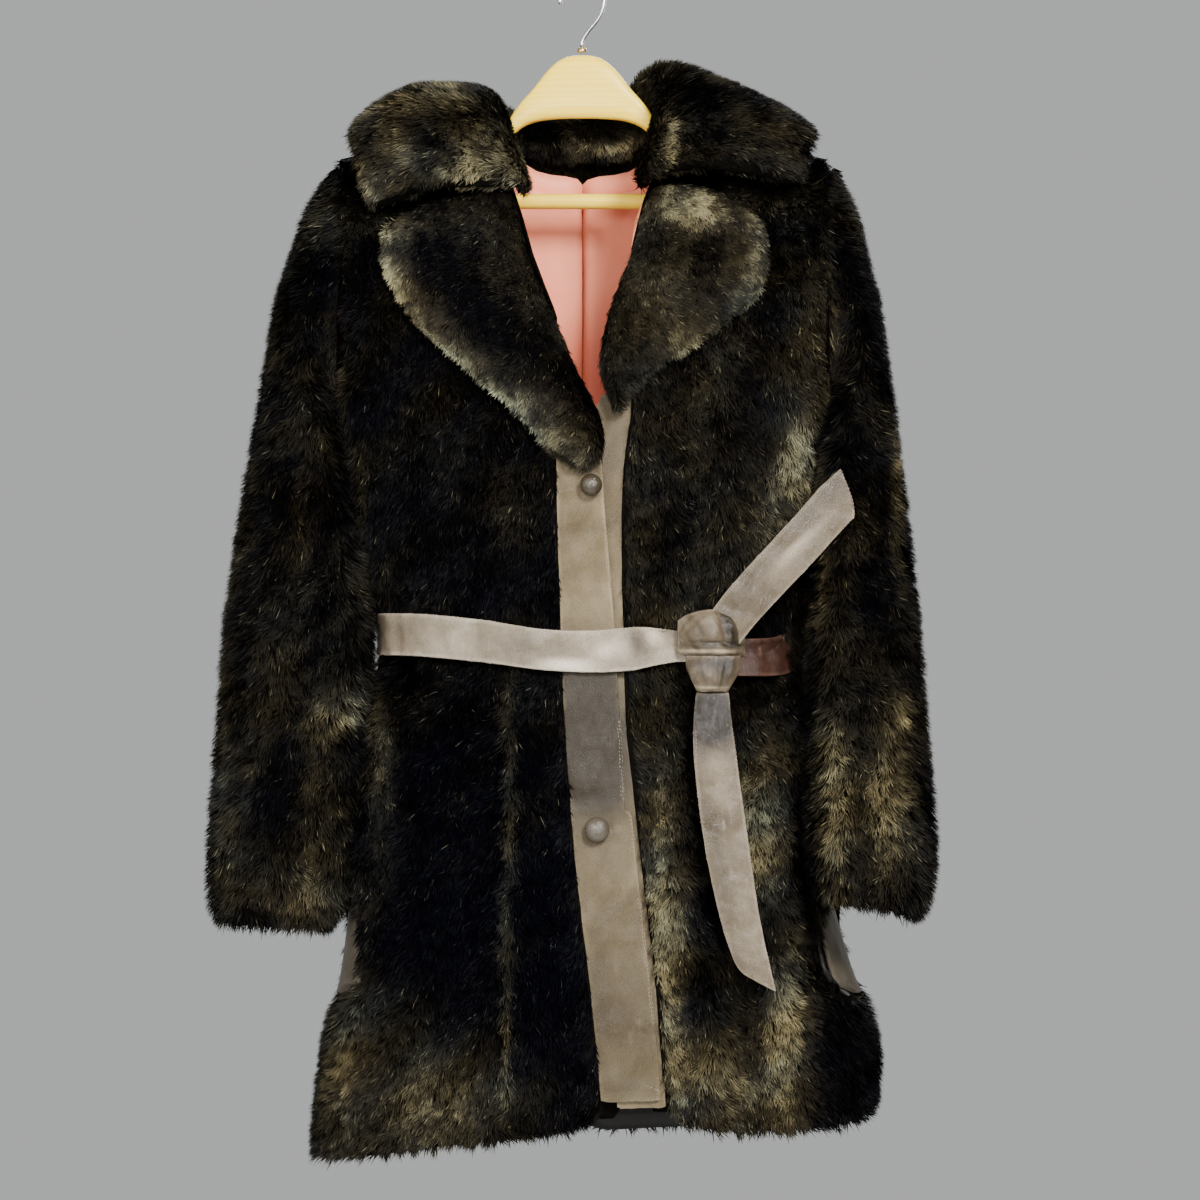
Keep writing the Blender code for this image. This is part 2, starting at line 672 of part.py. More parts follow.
def panel_edge(z, side, face):
    """x of a panel's edge at the middle of the coat."""
    if face == BACK:
        return side * SEAM / 2
    if side == LEFT:
        return read(PLACKET, "left", z) - SEAM
    return read(UNDER, "right", z) + SEAM


def strip_angle(z):
    """How far a side strip takes a front panel's edge away from the side seam."""
    if z > STRIP_LEVELS[-1] + 0.0025:
        return 0.0
    return read(STRIP, "angle", z) if z > STRIP_POINT else 0.0


def panel_rows(side, face, neck_steps, side_steps, raised=0.0):
    """The x, z and side-seam flag of a body panel's points, from the hem to the neck."""
    neck_angle = math.degrees(math.asin(NECK_HALF / HALF_CHEST))
    steps = neck_steps + side_steps

    def column_angle(z, step):
        middle, half, _ = section(z, face)
        first = math.degrees(math.asin((panel_edge(z, side, face) - middle) * side / half))
        strip = strip_angle(z)
        last = 90.0 - (strip if face == FRONT else strip / 2)
        if step <= neck_steps:
            return first + (neck_angle - first) * step / neck_steps
        return neck_angle + (last - neck_angle) * (step - neck_steps) / side_steps

    def place(z, step):
        middle, half, _ = section(z, face)
        return middle + side * half * math.sin(math.radians(column_angle(z, step)))

    rows = []
    for k in range(HEM_STEPS):
        row = []
        for step in range(steps + 1):
            angle = side * column_angle(LEVELS[0], step)
            hem = read(HEM, "z", angle if face == FRONT else (180.0 - angle)) + raised
            z = hem + (LEVELS[0] - hem) * k / HEM_STEPS
            row.append((place(z, step), z, step == steps))
        rows.append(row)
    for z in LEVELS:
        rows.append([(place(z, step), z, step == steps) for step in range(steps + 1)])
    columns = [place(ARMPIT, step) for step in range(steps + 1)]
    for k in range(1, NECK_ROWS + 1):
        rise = (1 - math.cos(math.pi * k / NECK_ROWS)) / 2
        row = []
        for x in columns:
            z = ARMPIT + rise * (neck_edge(x, side, face) - ARMPIT)
            row.append((x, z, k == NECK_ROWS and abs(x - MIDDLE) >= NECK_HALF - 0.0005))
        rows.append(row)
    return rows


def seam_gap(point, at_seam, z, face):
    """Moves a point at the side or shoulder seam off its neighbour."""
    if at_seam and (z <= ARMPIT or z > SHOULDER - 0.005):
        point = point.copy()
        point[1] += face * SEAM / 2
    return point


def body_panel(name, side, face, neck_steps, side_steps):
    """A front or back of fur, from the hem to the shoulder seam."""
    rows = panel_rows(side, face, neck_steps, side_steps)
    grids = []
    for out in (0.0, -FUR):
        grids.append([
            [seam_gap(on_body(x, z, face, out), seam, z, face) for x, z, seam in row] for row in rows
        ])
    return wall(name, *grids)


def back_lining(name, side):
    """Half of the back's lining, just inside the fur, from above the hem to the neck seam."""
    rows = panel_rows(side, BACK, BACK_COLUMNS[0], BACK_COLUMNS[1], raised=LINING_RAISED)[:-1]
    grids = []
    for depth in (FUR + LINING_GAP, FUR + LINING_GAP + LINING):
        grids.append([
            [seam_gap(on_body(x, z, BACK, -depth), seam, z, BACK) for x, z, seam in row] for row in rows
        ])
    return wall(name, *grids)


# ---------------------------------------------------------------- collar, lapels, sleeves


def curve_through(knots, count):
    """Points spread evenly along a smooth curve through the knots."""
    knots = [np.array(k, float) for k in knots]
    knots = [2 * knots[0] - knots[1], *knots, 2 * knots[-1] - knots[-2]]
    fine = []
    for a, b, c, d in zip(knots, knots[1:], knots[2:], knots[3:]):
        for i in range(12):
            t = i / 12
            fine.append(0.5 * (
                2 * b + (c - a) * t + (2 * a - 5 * b + 4 * c - d) * t * t
                + (3 * b - a - 3 * c + d) * t ** 3
            ))
    fine.append(knots[-2])
    lengths = [0.0]
    for a, b in zip(fine, fine[1:]):
        lengths.append(lengths[-1] + np.linalg.norm(b - a))
    goals = np.linspace(0.0, lengths[-1], count)
    return [np.array([np.interp(g, lengths, [p[k] for p in fine]) for k in range(3)]) for g in goals]


def collar_section(row, along):
    """The outline of the collar's folded cloth at one section. along runs the length of the collar."""
    centre = curve_through(row[:4], COLLAR_ACROSS)
    roll, fall = row[4], row[5]
    widths = [np.interp(i / (COLLAR_ACROSS - 1), (0.0, 0.2, 0.55, 0.85, 1.0),
                        (COLLAR_BASE, roll, fall, 0.86 * fall, 0.45 * fall))
              for i in range(COLLAR_ACROSS)]
    outer, inner = [], []
    for i, point in enumerate(centre):
        run = unit(centre[min(i + 1, COLLAR_ACROSS - 1)] - centre[max(i - 1, 0)])
        side = unit(np.cross(run, along))
        outer.append(point + side * widths[i] / 2)
        inner.append(point - side * widths[i] / 2)
    tip = centre[-1] + unit(centre[-1] - centre[-2]) * 0.18 * fall
    return outer + [tip] + inner[::-1]


def collar_half(name, sections):
    """Half of the collar: sewn to the neck, up, over its roll and down over the shoulder."""
    flat = [np.array([value for point in row[:4] for value in point] + list(row[4:])) for row in sections]
    rows = []
    for i in range(len(flat) - 1):
        before = flat[max(i - 1, 0)]
        after = flat[min(i + 2, len(flat) - 1)]
        for k in range(COLLAR_STEPS):
            t = k / COLLAR_STEPS
            rows.append(0.5 * (
                2 * flat[i] + (flat[i + 1] - before) * t
                + (2 * before - 5 * flat[i] + 4 * flat[i + 1] - after) * t * t
                + (3 * flat[i] - before - 3 * flat[i + 1] + after) * t ** 3
            ))
    rows.append(flat[-1])
    rings = []
    for i, row in enumerate(rows):
        ahead = rows[min(i + 1, len(rows) - 1)][3:9]
        behind = rows[max(i - 1, 0)][3:9]
        along = unit((ahead - behind)[:3] + (ahead - behind)[3:])
        if i == len(rows) - 1:
            along = np.array((math.copysign(1.0, along[0]), 0.0, 0.0))
        parts = [tuple(row[k:k + 3]) for k in (0, 3, 6, 9)] + [row[12], row[13]]
        rings.append(collar_section(parts, along))
    return loft(name, rings)


def lapel(name, rows):
    """A lapel: a thick fold of fur that lies on the front, with rounded edges."""
    columns = 7
    names = {n: i for i, n in enumerate(LAPEL_COLUMNS.split())}
    over, under = [], []
    last = len(rows) - 1
    for r, row in enumerate(rows):
        over.append([])
        under.append([])
        for c in range(columns):
            t = c / (columns - 1)
            x = row[names["roll_x"]] * (1 - t) + row[names["edge_x"]] * t
            z = row[names["roll_z"]] * (1 - t) + row[names["edge_z"]] * t
            z += 4 * t * (1 - t) * row[names["bow"]]
            across = 1 - abs(2 * t - 1) ** 3.2
            along = 1 - abs(2 * r / last - 1) ** 8
            thick = 0.006 + (LAPEL_THICK - 0.006) * math.sqrt(across * along)
            under[-1].append(on_body(x, z, FRONT, 0.0016))
            over[-1].append(on_body(x, z, FRONT, 0.0016 + thick))
    return wall(name, over, under)


def sleeve(name, rings):
    """A set-in sleeve: a tube whose rings turn from the armhole to the cuff."""
    outer, inner = [], []
    for r, (out_x, out_z, in_x, in_z, middle_y, half_depth) in enumerate(rings):
        tip, heel = np.array((out_x, middle_y, out_z)), np.array((in_x, middle_y, in_z))
        middle, half = (tip + heel) / 2, (tip - heel) / 2
        reach = np.linalg.norm(half)
        wave = SLEEVE_WAVES * smooth_step(r / 9)
        outer.append([])
        inner.append([])
        for c in range(SLEEVE_SIDES):
            turn = 2 * math.pi * c / SLEEVE_SIDES
            grow = 1 + wave * (math.cos(3 * turn + 0.8) - 1) / reach
            for ring, less in ((outer, 0.0), (inner, FUR)):
                along = half * (grow - less / reach) * math.cos(turn)
                sideways = (half_depth * grow - less) * math.sin(turn)
                ring[-1].append(middle + along + np.array((0.0, sideways, 0.0)))
    return tube(name, outer, inner)


# ---------------------------------------------------------------- leather, belt and buttons


def band(name, columns, levels, depth, thickness, across=4):
    """A leather band let into the front, between a table's left and right edges."""
    grids = []
    for out in (-depth, -depth - thickness):
        grid = []
        for z in levels:
            left, right = read(columns, "left", z), read(columns, "right", z)
            grid.append([
                on_body(left + (right - left) * c / (across - 1), z, FRONT, out) for c in range(across)
            ])
        grids.append(grid)
    return wall(name, *grids)


def side_strip(name, side):
    """The leather strip between front and back, from the belt to its point above the hem."""
    grids = []
    for out in (-STRIP_DEPTH, -STRIP_DEPTH - LEATHER):
        grid = []
        for z in STRIP_LEVELS:
            width = strip_angle(z)
            angles = np.linspace(90.0 - width + 0.3, 90.0 + width / 2 - 0.3, 6)
            grid.append([around_body(a if side == RIGHT else -a, z, out) for a in angles])
        point = around_body(side * 90.0, STRIP_POINT, out)
        middle = (grid[0][2] + grid[0][3]) / 2
        grid.insert(0, [point + (p * 0.9 + middle * 0.1 - point) * 0.3 for p in grid[0]])
        grids.append(grid)
    return wall(name, *grids)


def belt(name):
    """The belt around the waist, from the knot's left by the back to its right."""
    grids = []
    angles = np.linspace(BELT_LEFT_OF_KNOT, BELT_RIGHT_OF_KNOT - 360.0, BELT_PIECES + 1)
    for out in (BELT_OUT + STRAP, BELT_OUT):
        grid = []
        for share in (0.5, 0.0, -0.5):
            row = []
            for angle in angles:
                wrapped = (angle + 90.0) % 360.0 - 90.0
                z = read(BELT, "z", wrapped) + share * read(BELT, "width", wrapped)
                row.append(around_body(wrapped, z, out))
            grid.append(row)
        grids.append(grid)
    return wall(name, *grids)


def strap_end(name, rows):
    """A tail of the belt: a flat strap, slightly cupped across."""
    front, back = [], []
    for left_x, left_z, right_x, right_z, y in rows:
        front.append([])
        back.append([])
        for t in (0.0, 0.33, 0.67, 1.0):
            cup = 0.0014 * 4 * t * (1 - t)
            x = left_x + (right_x - left_x) * t
            z = left_z + (right_z - left_z) * t
            front[-1].append(np.array((x, y - cup, z)))
            back[-1].append(np.array((x, y - cup + STRAP, z)))
    return wall(name, front, back)


def rounded_ring(middle, first, second, sides=14, power=2.5):
    """A ring of points round a middle, between an ellipse and a box."""
    ring = []
    for c in range(sides):
        turn = 2 * math.pi * c / sides
        a, b = math.cos(turn), math.sin(turn)
        a = math.copysign(abs(a) ** (2 / power), a)
        b = math.copysign(abs(b) ** (2 / power), b)
        ring.append(np.array(middle) + np.array(first) * a + np.array(second) * b)
    return ring


def knot_wrap(name):
    rings = [
        rounded_ring((x, y, z), (0, depth, 0), (0, 0, height)) for x, y, z, depth, height in KNOT_WRAP
    ]
    return loft(name, rings)


def knot_throat(name):
    rings = [
        rounded_ring((x, y, z), (width, 0, 0), (0, depth, 0)) for z, x, y, width, depth in KNOT_THROAT
    ]
    return loft(name, rings)


def turned(name, profile, steps=16):
    """A turned piece: a profile of (radius, height) from top to bottom, spun about Z."""
    mesh = bpy.data.meshes.new(name)
    points = [(radius, 0.0, height) for radius, height in profile]
    mesh.from_pydata(points, [(i, i + 1) for i in range(len(points) - 1)], [])
    ob = bpy.data.objects.new(name, mesh)
    screw = ob.modifiers.new("Screw", "SCREW")
    screw.steps = steps
    screw.render_steps = steps
    screw.use_merge_vertices = True
    screw.merge_threshold = 0.00001
    screw.use_smooth_shade = True
    return ob


def button(name, x, z, radius, mat, collection):
    """A domed button on its shank, on the placket."""
    profile = [(0.0, BUTTON_DEPTH)]
    for k in range(1, 7):
        turn = math.radians(15.0 * k)
        profile.append((radius * math.sin(turn), BUTTON_DEPTH * (0.42 + 0.58 * math.cos(turn))))
    profile += [(0.92 * radius, 0.26 * BUTTON_DEPTH), (0.0045, 0.14 * BUTTON_DEPTH)]
    profile += [(0.0040, 0.0), (0.0, 0.0)]
    ob = turned(name, profile)
    ob.data.materials.append(mat)
    collection.objects.link(ob)
    direction = outward(x, z, FRONT)
    ob.location = Vector(on_body(x, z, FRONT, SEAM - PLACKET_DEPTH))
    ob.rotation_euler = Vector(direction).to_track_quat("Z", "Y").to_euler()
    return ob


def wire(name, points, radius, mat, collection):
    """A round wire or cord through the points."""
    curve = bpy.data.curves.new(name, "CURVE")
    curve.dimensions = "3D"
    curve.bevel_depth = radius
    curve.bevel_resolution = 2
    curve.use_fill_caps = True
    spline = curve.splines.new("POLY")
    spline.points.add(len(points) - 1)
    for point, place in zip(spline.points, points):
        point.co = (*place, 1.0)
    return add_object(name, curve, mat, collection)


def belt_loop(name, side, mat, collection):
    """A thin cord loop over the belt at the side seam."""
    knots = []
    for z, away in ((-0.5330, 0.0030), (-0.5440, 0.0080), (-0.5650, 0.0098), (-0.5850, 0.0088),
                    (-0.5960, 0.0064), (-0.6020, 0.0030)):
        angle = side * 88.0
        knots.append(around_body(angle, z, away))
    return wire(name, curve_through(knots, 15), LOOP_CORD, mat, collection)


# ---------------------------------------------------------------- hanger


def hanger_wood(name):
    """The curved wooden arms, deep in the middle and rounded at the ends."""
    stations = [-x for x in reversed(WOOD_STATIONS[1:])] + list(WOOD_STATIONS)
    rings = []
    for x in stations:
        top, bottom = read(WOOD, "top", abs(x)), read(WOOD, "bottom", abs(x))
        depth = WOOD_HALF_DEPTH * (1 - 0.35 * (abs(x) / WOOD_STATIONS[-1]) ** 6)
        rings.append(rounded_ring(
            (x, 0.0, (top + bottom) / 2), (0, 0, (top - bottom) / 2), (0, depth, 0), sides=12, power=3.2))
    return loft(name, rings)


def hook_path():
    """The hook: from the wood up, out to the right and over to an open end on the left."""
    middle = HOOK_WIRE - HOOK_RADIUS
    shank = [(0, 0, -0.0610), (0, 0, -0.0555), (0.0055, 0, -0.0465), (0.0130, 0, -0.0375),
             (0.0178, 0, -0.0280), (HOOK_RADIUS, 0, middle)]
    points = [Vector(p) for p in curve_through(shank, 13)]
    for k in range(1, 17):
        turn = math.radians(200.0 * k / 16)
        points.append(Vector((HOOK_RADIUS * math.cos(turn), 0, middle + HOOK_RADIUS * math.sin(turn))))
    return points


# ---------------------------------------------------------------- the whole coat


def build():
    clear_scene()
    coat = bpy.data.collections.new("fur_coat_on_hanger")
    bpy.context.scene.collection.children.link(coat)
    fur = make_material("fur", FUR_BLACK, 0.85)
    collar_fur = make_material("collar fur", FUR_BROWN, 0.85)
    leather = make_material("taupe leather", TAUPE, 0.45)
    button_leather = make_material("button leather", DARK_BROWN, 0.35)
    satin = make_material("lining", CORAL, 0.45)
    wood = make_material("pale wood", PALE_WOOD, 0.4)
    steel = make_material("hook steel", WIRE_GREY, 0.3, 1.0)
    brass = make_material("ferrule brass", BRASS, 0.35, 1.0)
    cord = make_material("tan cord", TAN, 0.6)

    for word, side, in_front in (("left", LEFT, 3), ("right", RIGHT, 2)):
        add_object("front_" + word, body_panel("front", side, FRONT, in_front, 8), fur, coat)
        add_object("back_" + word, body_panel("back", side, BACK, *BACK_COLUMNS), fur, coat)
        add_object("side_strip_" + word, side_strip("strip", side), leather, coat)
        add_object("lining_back_" + word, back_lining("lining", side), satin, coat)
        belt_loop("belt_loop_" + word, side, cord, coat)
    add_object("sleeve_left", sleeve("sleeve", SLEEVE_LEFT), fur, coat)
    add_object("sleeve_right", sleeve("sleeve", SLEEVE_RIGHT), fur, coat)
    add_object("collar_left", collar_half("collar", COLLAR_LEFT), collar_fur, coat)
    add_object("collar_right", collar_half("collar", COLLAR_RIGHT), collar_fur, coat)
    add_object("lapel_left", lapel("lapel", LAPEL_LEFT), collar_fur, coat)
    add_object("lapel_right", lapel("lapel", LAPEL_RIGHT), collar_fur, coat)

    add_object("placket", band("placket", PLACKET, PLACKET["z"], PLACKET_DEPTH, LEATHER), leather, coat)
    add_object("under_placket", band("band", UNDER, UNDER["z"], UNDER_DEPTH, LEATHER), leather, coat)
    button("button_top", 0.0081, -0.4405, 0.0097, button_leather, coat)
    button("button_low", 0.0130, -0.7263, 0.0110, button_leather, coat)

    add_object("belt", belt("belt"), leather, coat)
    add_object("knot_wrap", knot_wrap("knot"), leather, coat)
    add_object("knot_throat", knot_throat("throat"), leather, coat)
    add_object("tail_up", strap_end("tail", TAIL_UP), leather, coat)
    add_object("tail_down", strap_end("tail", TAIL_DOWN), leather, coat)

    add_object("hanger_wood", hanger_wood("wood"), wood, coat)
    bar_ends = [(-BAR_HALF, 0, BAR_LEVEL), (0, 0, BAR_LEVEL), (BAR_HALF, 0, BAR_LEVEL)]
    wire("hanger_bar", bar_ends, BAR_RADIUS, wood, coat)
    wire("hanger_hook", hook_path(), HOOK_WIRE, steel, coat)
    ferrule = turned("hanger_ferrule", [(0.0, -0.0613), (0.0034, -0.0613), (0.0044, -0.0625),
                                        (0.0044, -0.0655), (0.0, -0.0655)])
    ferrule.data.materials.append(brass)
    coat.objects.link(ferrule)


build()
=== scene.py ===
"""Looks of the faux fur coat on its hanger: pile, leather, satin, stitching and soft studio light.

Metres, the hook's centre at the origin, front toward -Y. Left and right are those of the picture.
"""

import math

import bmesh
import bpy
import numpy as np
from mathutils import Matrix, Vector, kdtree
from mathutils.bvhtree import BVHTree


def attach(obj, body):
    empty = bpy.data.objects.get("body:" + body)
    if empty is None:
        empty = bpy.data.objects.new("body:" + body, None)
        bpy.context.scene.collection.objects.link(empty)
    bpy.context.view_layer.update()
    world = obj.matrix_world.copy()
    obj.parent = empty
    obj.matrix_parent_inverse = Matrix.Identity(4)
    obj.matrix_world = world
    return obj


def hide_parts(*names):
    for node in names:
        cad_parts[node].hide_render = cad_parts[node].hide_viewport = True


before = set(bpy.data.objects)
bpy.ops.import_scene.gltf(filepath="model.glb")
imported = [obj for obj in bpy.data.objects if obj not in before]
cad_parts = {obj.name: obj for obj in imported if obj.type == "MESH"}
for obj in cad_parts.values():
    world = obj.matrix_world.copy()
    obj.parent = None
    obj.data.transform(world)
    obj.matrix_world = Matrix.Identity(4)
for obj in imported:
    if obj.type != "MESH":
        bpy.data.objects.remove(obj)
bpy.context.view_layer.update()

SIDES = ("left", "right")

# Camera: a square picture, which is so wide at the hanger's plane
CAMERA_X, CAMERA_Z, CAMERA_AWAY = 0.0155, -0.5361, 2.6
PICTURE_WIDTH = 1.032
FLOOR_Z, FLOOR_RADIUS = -1.46, 1.9

# Fur
PILE_DEPTH = 0.0092  # how far the backing lies below the tips' surface
SEAM_REACH = 0.013  # nearer to a seam than this the pile gets shorter
BACKING = 0.0018
STRANDS_A_TUFT = 22
STRAND_HALF_WIDTH, STRAND_VARIES = 0.00055, 0.0003
ROOT_SUNK = 0.0004
PAST_EDGE = 0.0065  # how far strands may reach over their piece's edge
SWIRL_SIZE = 0.055
COLLAR_BACK_SHADE = 0.13

# The middle of the coat and of each sleeve, from which a face looks outward
CORE_HALF_WIDTH, CORE_TOP, SLEEVE_SLICE = 0.12, -0.2, 0.035
# Left out of each sleeve: the side that closes it to the body above this height
ARMHOLE_X, ARMHOLE_LOW = 0.2105, -0.4
# Free edges, which are no seams: below the cuffs, the hem and the vents
CUFF_SEAM, HEM_SEAM = -0.7, -0.94
VENT_X, VENT_TOP = 0.15, -0.55
# How far body and sleeves move to each other under the arm, at the cuff and at the shoulder
CLOSER_BODY, CLOSER_CUFF, CLOSER_SHOULDER = 0.0055, 0.007, 0.005
# The fronts' facing: its heights, how near the front edge it starts, its turn and its width
FACING_LEVELS = (-0.965, -0.345)
FACING_MIDDLE, FACING_REACH = 0.02, 0.055
FACING_TURN, FACING_WIDTH = (0.004, 0.009, 0.0), (0.012, 0.002, 0.0)
# The seams between collar and lapels, and how far the two move to each other
GORGE_LEFT, GORGE_RIGHT, GORGE_SHIFT = -0.198, -0.19, 0.006
HIDDEN = 0.55  # a fold's face that looks this squarely to its hidden side has little pile

# Satin: how far it reaches to the sides before it turns near black as painted shade, where it ends in the
# dark facing near the hem, its thickness, and its pleats (x, half width, depth)
SATIN_HALF_WIDTH, INNER_SATIN_HALF_WIDTH, SATIN_HEM = 0.18, 0.13, -0.945
LINING_LOW = -0.955
SATIN = 0.0006
PLEATS = (
    (0.0075, 0.0022, 0.003), (0.0025, 0.004, -0.0022), (0.0258, 0.0035, 0.0016), (-0.03, 0.006, 0.0012))

# Painted light and shade on the pile, on faces to the front: patches that are lighter where folds, ridges
# and rims catch the light and darker in hollows and shaded places: x, z, half width and half height in
# millimetres, shade, warmth
PAINTED_LIGHT_AND_SHADE = (
    # painted highlights on the rim of the left skirt and the folds down it, painted shade in its
    # blue-black hollows, the lighter hem
    (-168, -668, 12, 62, 0.36, 0.1), (-59, -700, 4.5, 110, 0.34, 0.4), (-62, -880, 3.5, 100, 0.32, 0.4),
    (-110, -780, 75, 110, -0.06, -0.6), (-20, -830, 30, 130, -0.06, -0.6),
    (-115, -950, 55, 50, 0.42, 0.32), (-200, -930, 26, 70, 0.42, 0.2),
    # left front above the belt
    (-186, -460, 7, 75, 0.2, 0.2), (-198, -355, 4, 60, 0.3, 0.2), (-64, -440, 20, 60, 0.05, 0.3),
    # right front above the belt, the palest patch first
    (181, -408, 14, 36, 0.64, -0.1), (160, -460, 24, 50, 0.22, 0.05), (100, -430, 20, 50, 0.14, 0.05),
    (195, -330, 12, 60, 0.14, 0.1), (206, -350, 4, 80, 0.34, 0.3), (50, -480, 30, 60, 0.06, 0.25),
    # right skirt
    (68, -820, 18, 140, 0.5, 0.15), (150, -720, 20, 70, 0.55, -0.05), (168, -900, 16, 90, 0.48, 0.1),
    (105, -930, 40, 50, 0.34, 0.2), (110, -800, 10, 80, -0.1, 0.1), (185, -760, 8, 80, -0.22, 0),
    (225, -900, 26, 90, -0.34, 0),
    # right cuff, a small tan spot, and painted highlights along the sleeve's edges
    (210, -700, 12, 90, 0.6, 0.2), (252, -700, 18, 80, 0.46, 0.3), (262, -626, 7, 15, 0.4, 1.2),
    (260, -440, 5, 80, 0.34, 0.6), (205, -480, 4, 70, 0.3, 0.4),
    # left sleeve and cuff
    (-204, -625, 22, 20, 0.52, 0.1), (-235, -780, 50, 26, 0.24, 0.2), (-225, -700, 16, 60, 0.14, 0.2),
    # painted light on the shoulders below the collar, in the collar's shadow
    (120, -200, 60, 12, 0.26, 0.2), (-160, -215, 50, 12, 0.22, 0.2),
    # outer edge and middle of the left sleeve
    (-300, -660, 10, 150, 0.22, 0.2), (-270, -560, 20, 60, 0.08, 0.1), (-235, -480, 8, 60, 0.1, 0.1),
)
# The same painted light and shade on the collar and lapels
FOLD_PAINTED_LIGHT_AND_SHADE = (
    # left collar
    (-88, -178, 22, 12, 0.42, 0.1), (-180, -180, 18, 26, 0.22, 0.2), (-130, -118, 60, 10, 0.22, 0.3),
    (-150, -150, 14, 20, 0.1, 0.2), (-95, -130, 16, 24, -0.14, 0.1), (-135, -195, 30, 12, -0.14, 0.1),
    # right collar
    (64, -90, 22, 20, 0.16, 0.4), (71, -160, 6, 32, 0.6, 0), (180, -140, 30, 12, 0.12, 0.2),
    # behind the hanger: a painted highlight along a crease, and lighter pile
    (30, -137, 36, 5, 0.45, 0.3), (0, -150, 60, 20, 0.14, 0.3),
    # right lapel, then the top of the left one
    (88, -212, 36, 18, 0.44, -0.05), (142, -245, 10, 30, 0.22, -0.1), (85, -318, 30, 14, 0.24, 0),
    (-150, -222, 24, 10, 0.3, 0.2),
)
# Each fur piece: its strands, resting shade and warmth, and the strands' length and rise. The resting
# shades differ from piece to piece as painted light and shade, and the backs' is raised as painted light
PILES = {
    "front_left": (128000, 0.0, 0.45, 0.0135, 0.0092),
    "front_right": (118000, 0.06, 0.55, 0.0135, 0.0092),
    "back_left": (54000, 0.1, 0.5, 0.015, 0.0092),
    "back_right": (54000, 0.1, 0.5, 0.015, 0.0092),
    "sleeve_left": (92000, 0.04, 0.5, 0.0135, 0.0092),
    "sleeve_right": (86000, 0.03, 0.55, 0.0135, 0.0092),
    "collar_left": (58000, 0.26, 0.62, 0.015, 0.0095),
    "collar_right": (58000, 0.07, 0.62, 0.015, 0.0095),
    "lapel_left": (36000, 0.06, 0.58, 0.013, 0.0085),
    "lapel_right": (32000, 0.09, 0.58, 0.013, 0.0085),
}
# Each lapel's outer edge, where the pile is painted lighter as a lit rim: how far this band reaches, its
# shade, and the edge as x and z in millimetres and how full the shade is there
LIT_RIMS = {
    "lapel_left": (0.019, 0.74, (
        (-170, -235, 0.9), (-166, -262, 1), (-153, -288, 1), (-133, -312, 0.9), (-108, -333, 0.9),
        (-83, -355, 1), (-59, -373, 1), (-42, -393, 0.8), (-20, -416, 0.5), (2, -428, 0.4))),
    "lapel_right": (0.018, 0.34, (
        (80, -203, 1), (110, -208, 1), (148, -222, 0.6), (155, -250, 0.4), (148, -282, 0.3),
        (130, -298, 0.3), (110, -312, 0.5), (89, -328, 0.7), (66, -342, 0.5), (45, -356, 0.3))),
}

# Sewing
STITCH, STITCH_WIDE, STITCH_HIGH = 0.0026, 0.00032, 0.00042
STITCH_PITCH = 0.0032
STITCH_INSET = 0.0022
SHORTEST_SEAM = 0.05

# Leather: the painted highlight, a pale line along each edge
EDGE_HIGHLIGHT_TONE, EDGE_HIGHLIGHT_WIDTH = 0.3, 0.0013
# Belt: its middle line, how far it is drawn in to the knot, and where its short right part starts
BELT_LINE, BELT_DRAWN = -0.571, 0.0085
BELT_BEYOND, BELT_SIDE_Y = 0.1, 0.02
TAIL_START, TAIL_REACH = (0.115, -0.5625), 0.14
TAIL_SEWN_BELOW = -0.645
THROAT_RAISED = 0.005
# Creases in the leather's front: x, z, half width, half height and depth in millimetres, slant
CREASES = {
    "placket": (
        (0, -640, 20, 6, 1.2, 0.3), (15, -520, 22, 5, 1, -0.3), (10, -700, 26, 7, 1.4, 0.15),
        (30, -830, 20, 10, 1, 0.4), (45, -930, 18, 8, 1.4, -0.2), (-4, -480, 14, 10, 0.9, 0.5),
        (26, -432.7, 20, 1.6, 1.6, 0), (24.6, -725.5, 11, 1.1, 1.8, 0.07)),
    "belt": (
        (0, -590, 6, 14, 1.2, 0.2), (-20, -570, 5, 16, 1.1, 0), (48, -572, 5, 18, 2, 0.45),
        (-90, -560, 20, 4, 0.9, 0.1), (66, -562, 12, 4, 3, -0.5), (60, -580, 14, 4, 1.6, 0.3),
        (-130, -575, 26, 4, 0.8, -0.1), (160, -575, 20, 6, 3.5, 0.35)),
    "tail_up": (
        (150, -510, 4, 18, 1.2, -0.6), (178, -487, 4, 18, 1, -0.8), (135, -530, 3, 20, 1.4, -0.5)),
    "tail_down": (
        (112, -650, 4, 30, 1.4, 0.1), (118, -720, 3, 30, 1.2, 0.15), (105, -690, 12, 4, 1, 0.3),
        (122, -760, 14, 4, 0.9, -0.2)),
    "knot_wrap": (
        (93, -556, 3, 20, 1.2, 0.55), (117, -556, 3, 24, 2.6, 0.24), (106, -572, 30, 2, 2.6, -0.02),
        (90, -576, 12, 3, 1.6, -0.3)),
    "knot_throat": (
        (100, -600, 2.2, 12, 0.8, 0.25), (111, -600, 2.4, 14, 1, 0), (118, -600, 2.2, 12, 1.4, -0.25)),
}
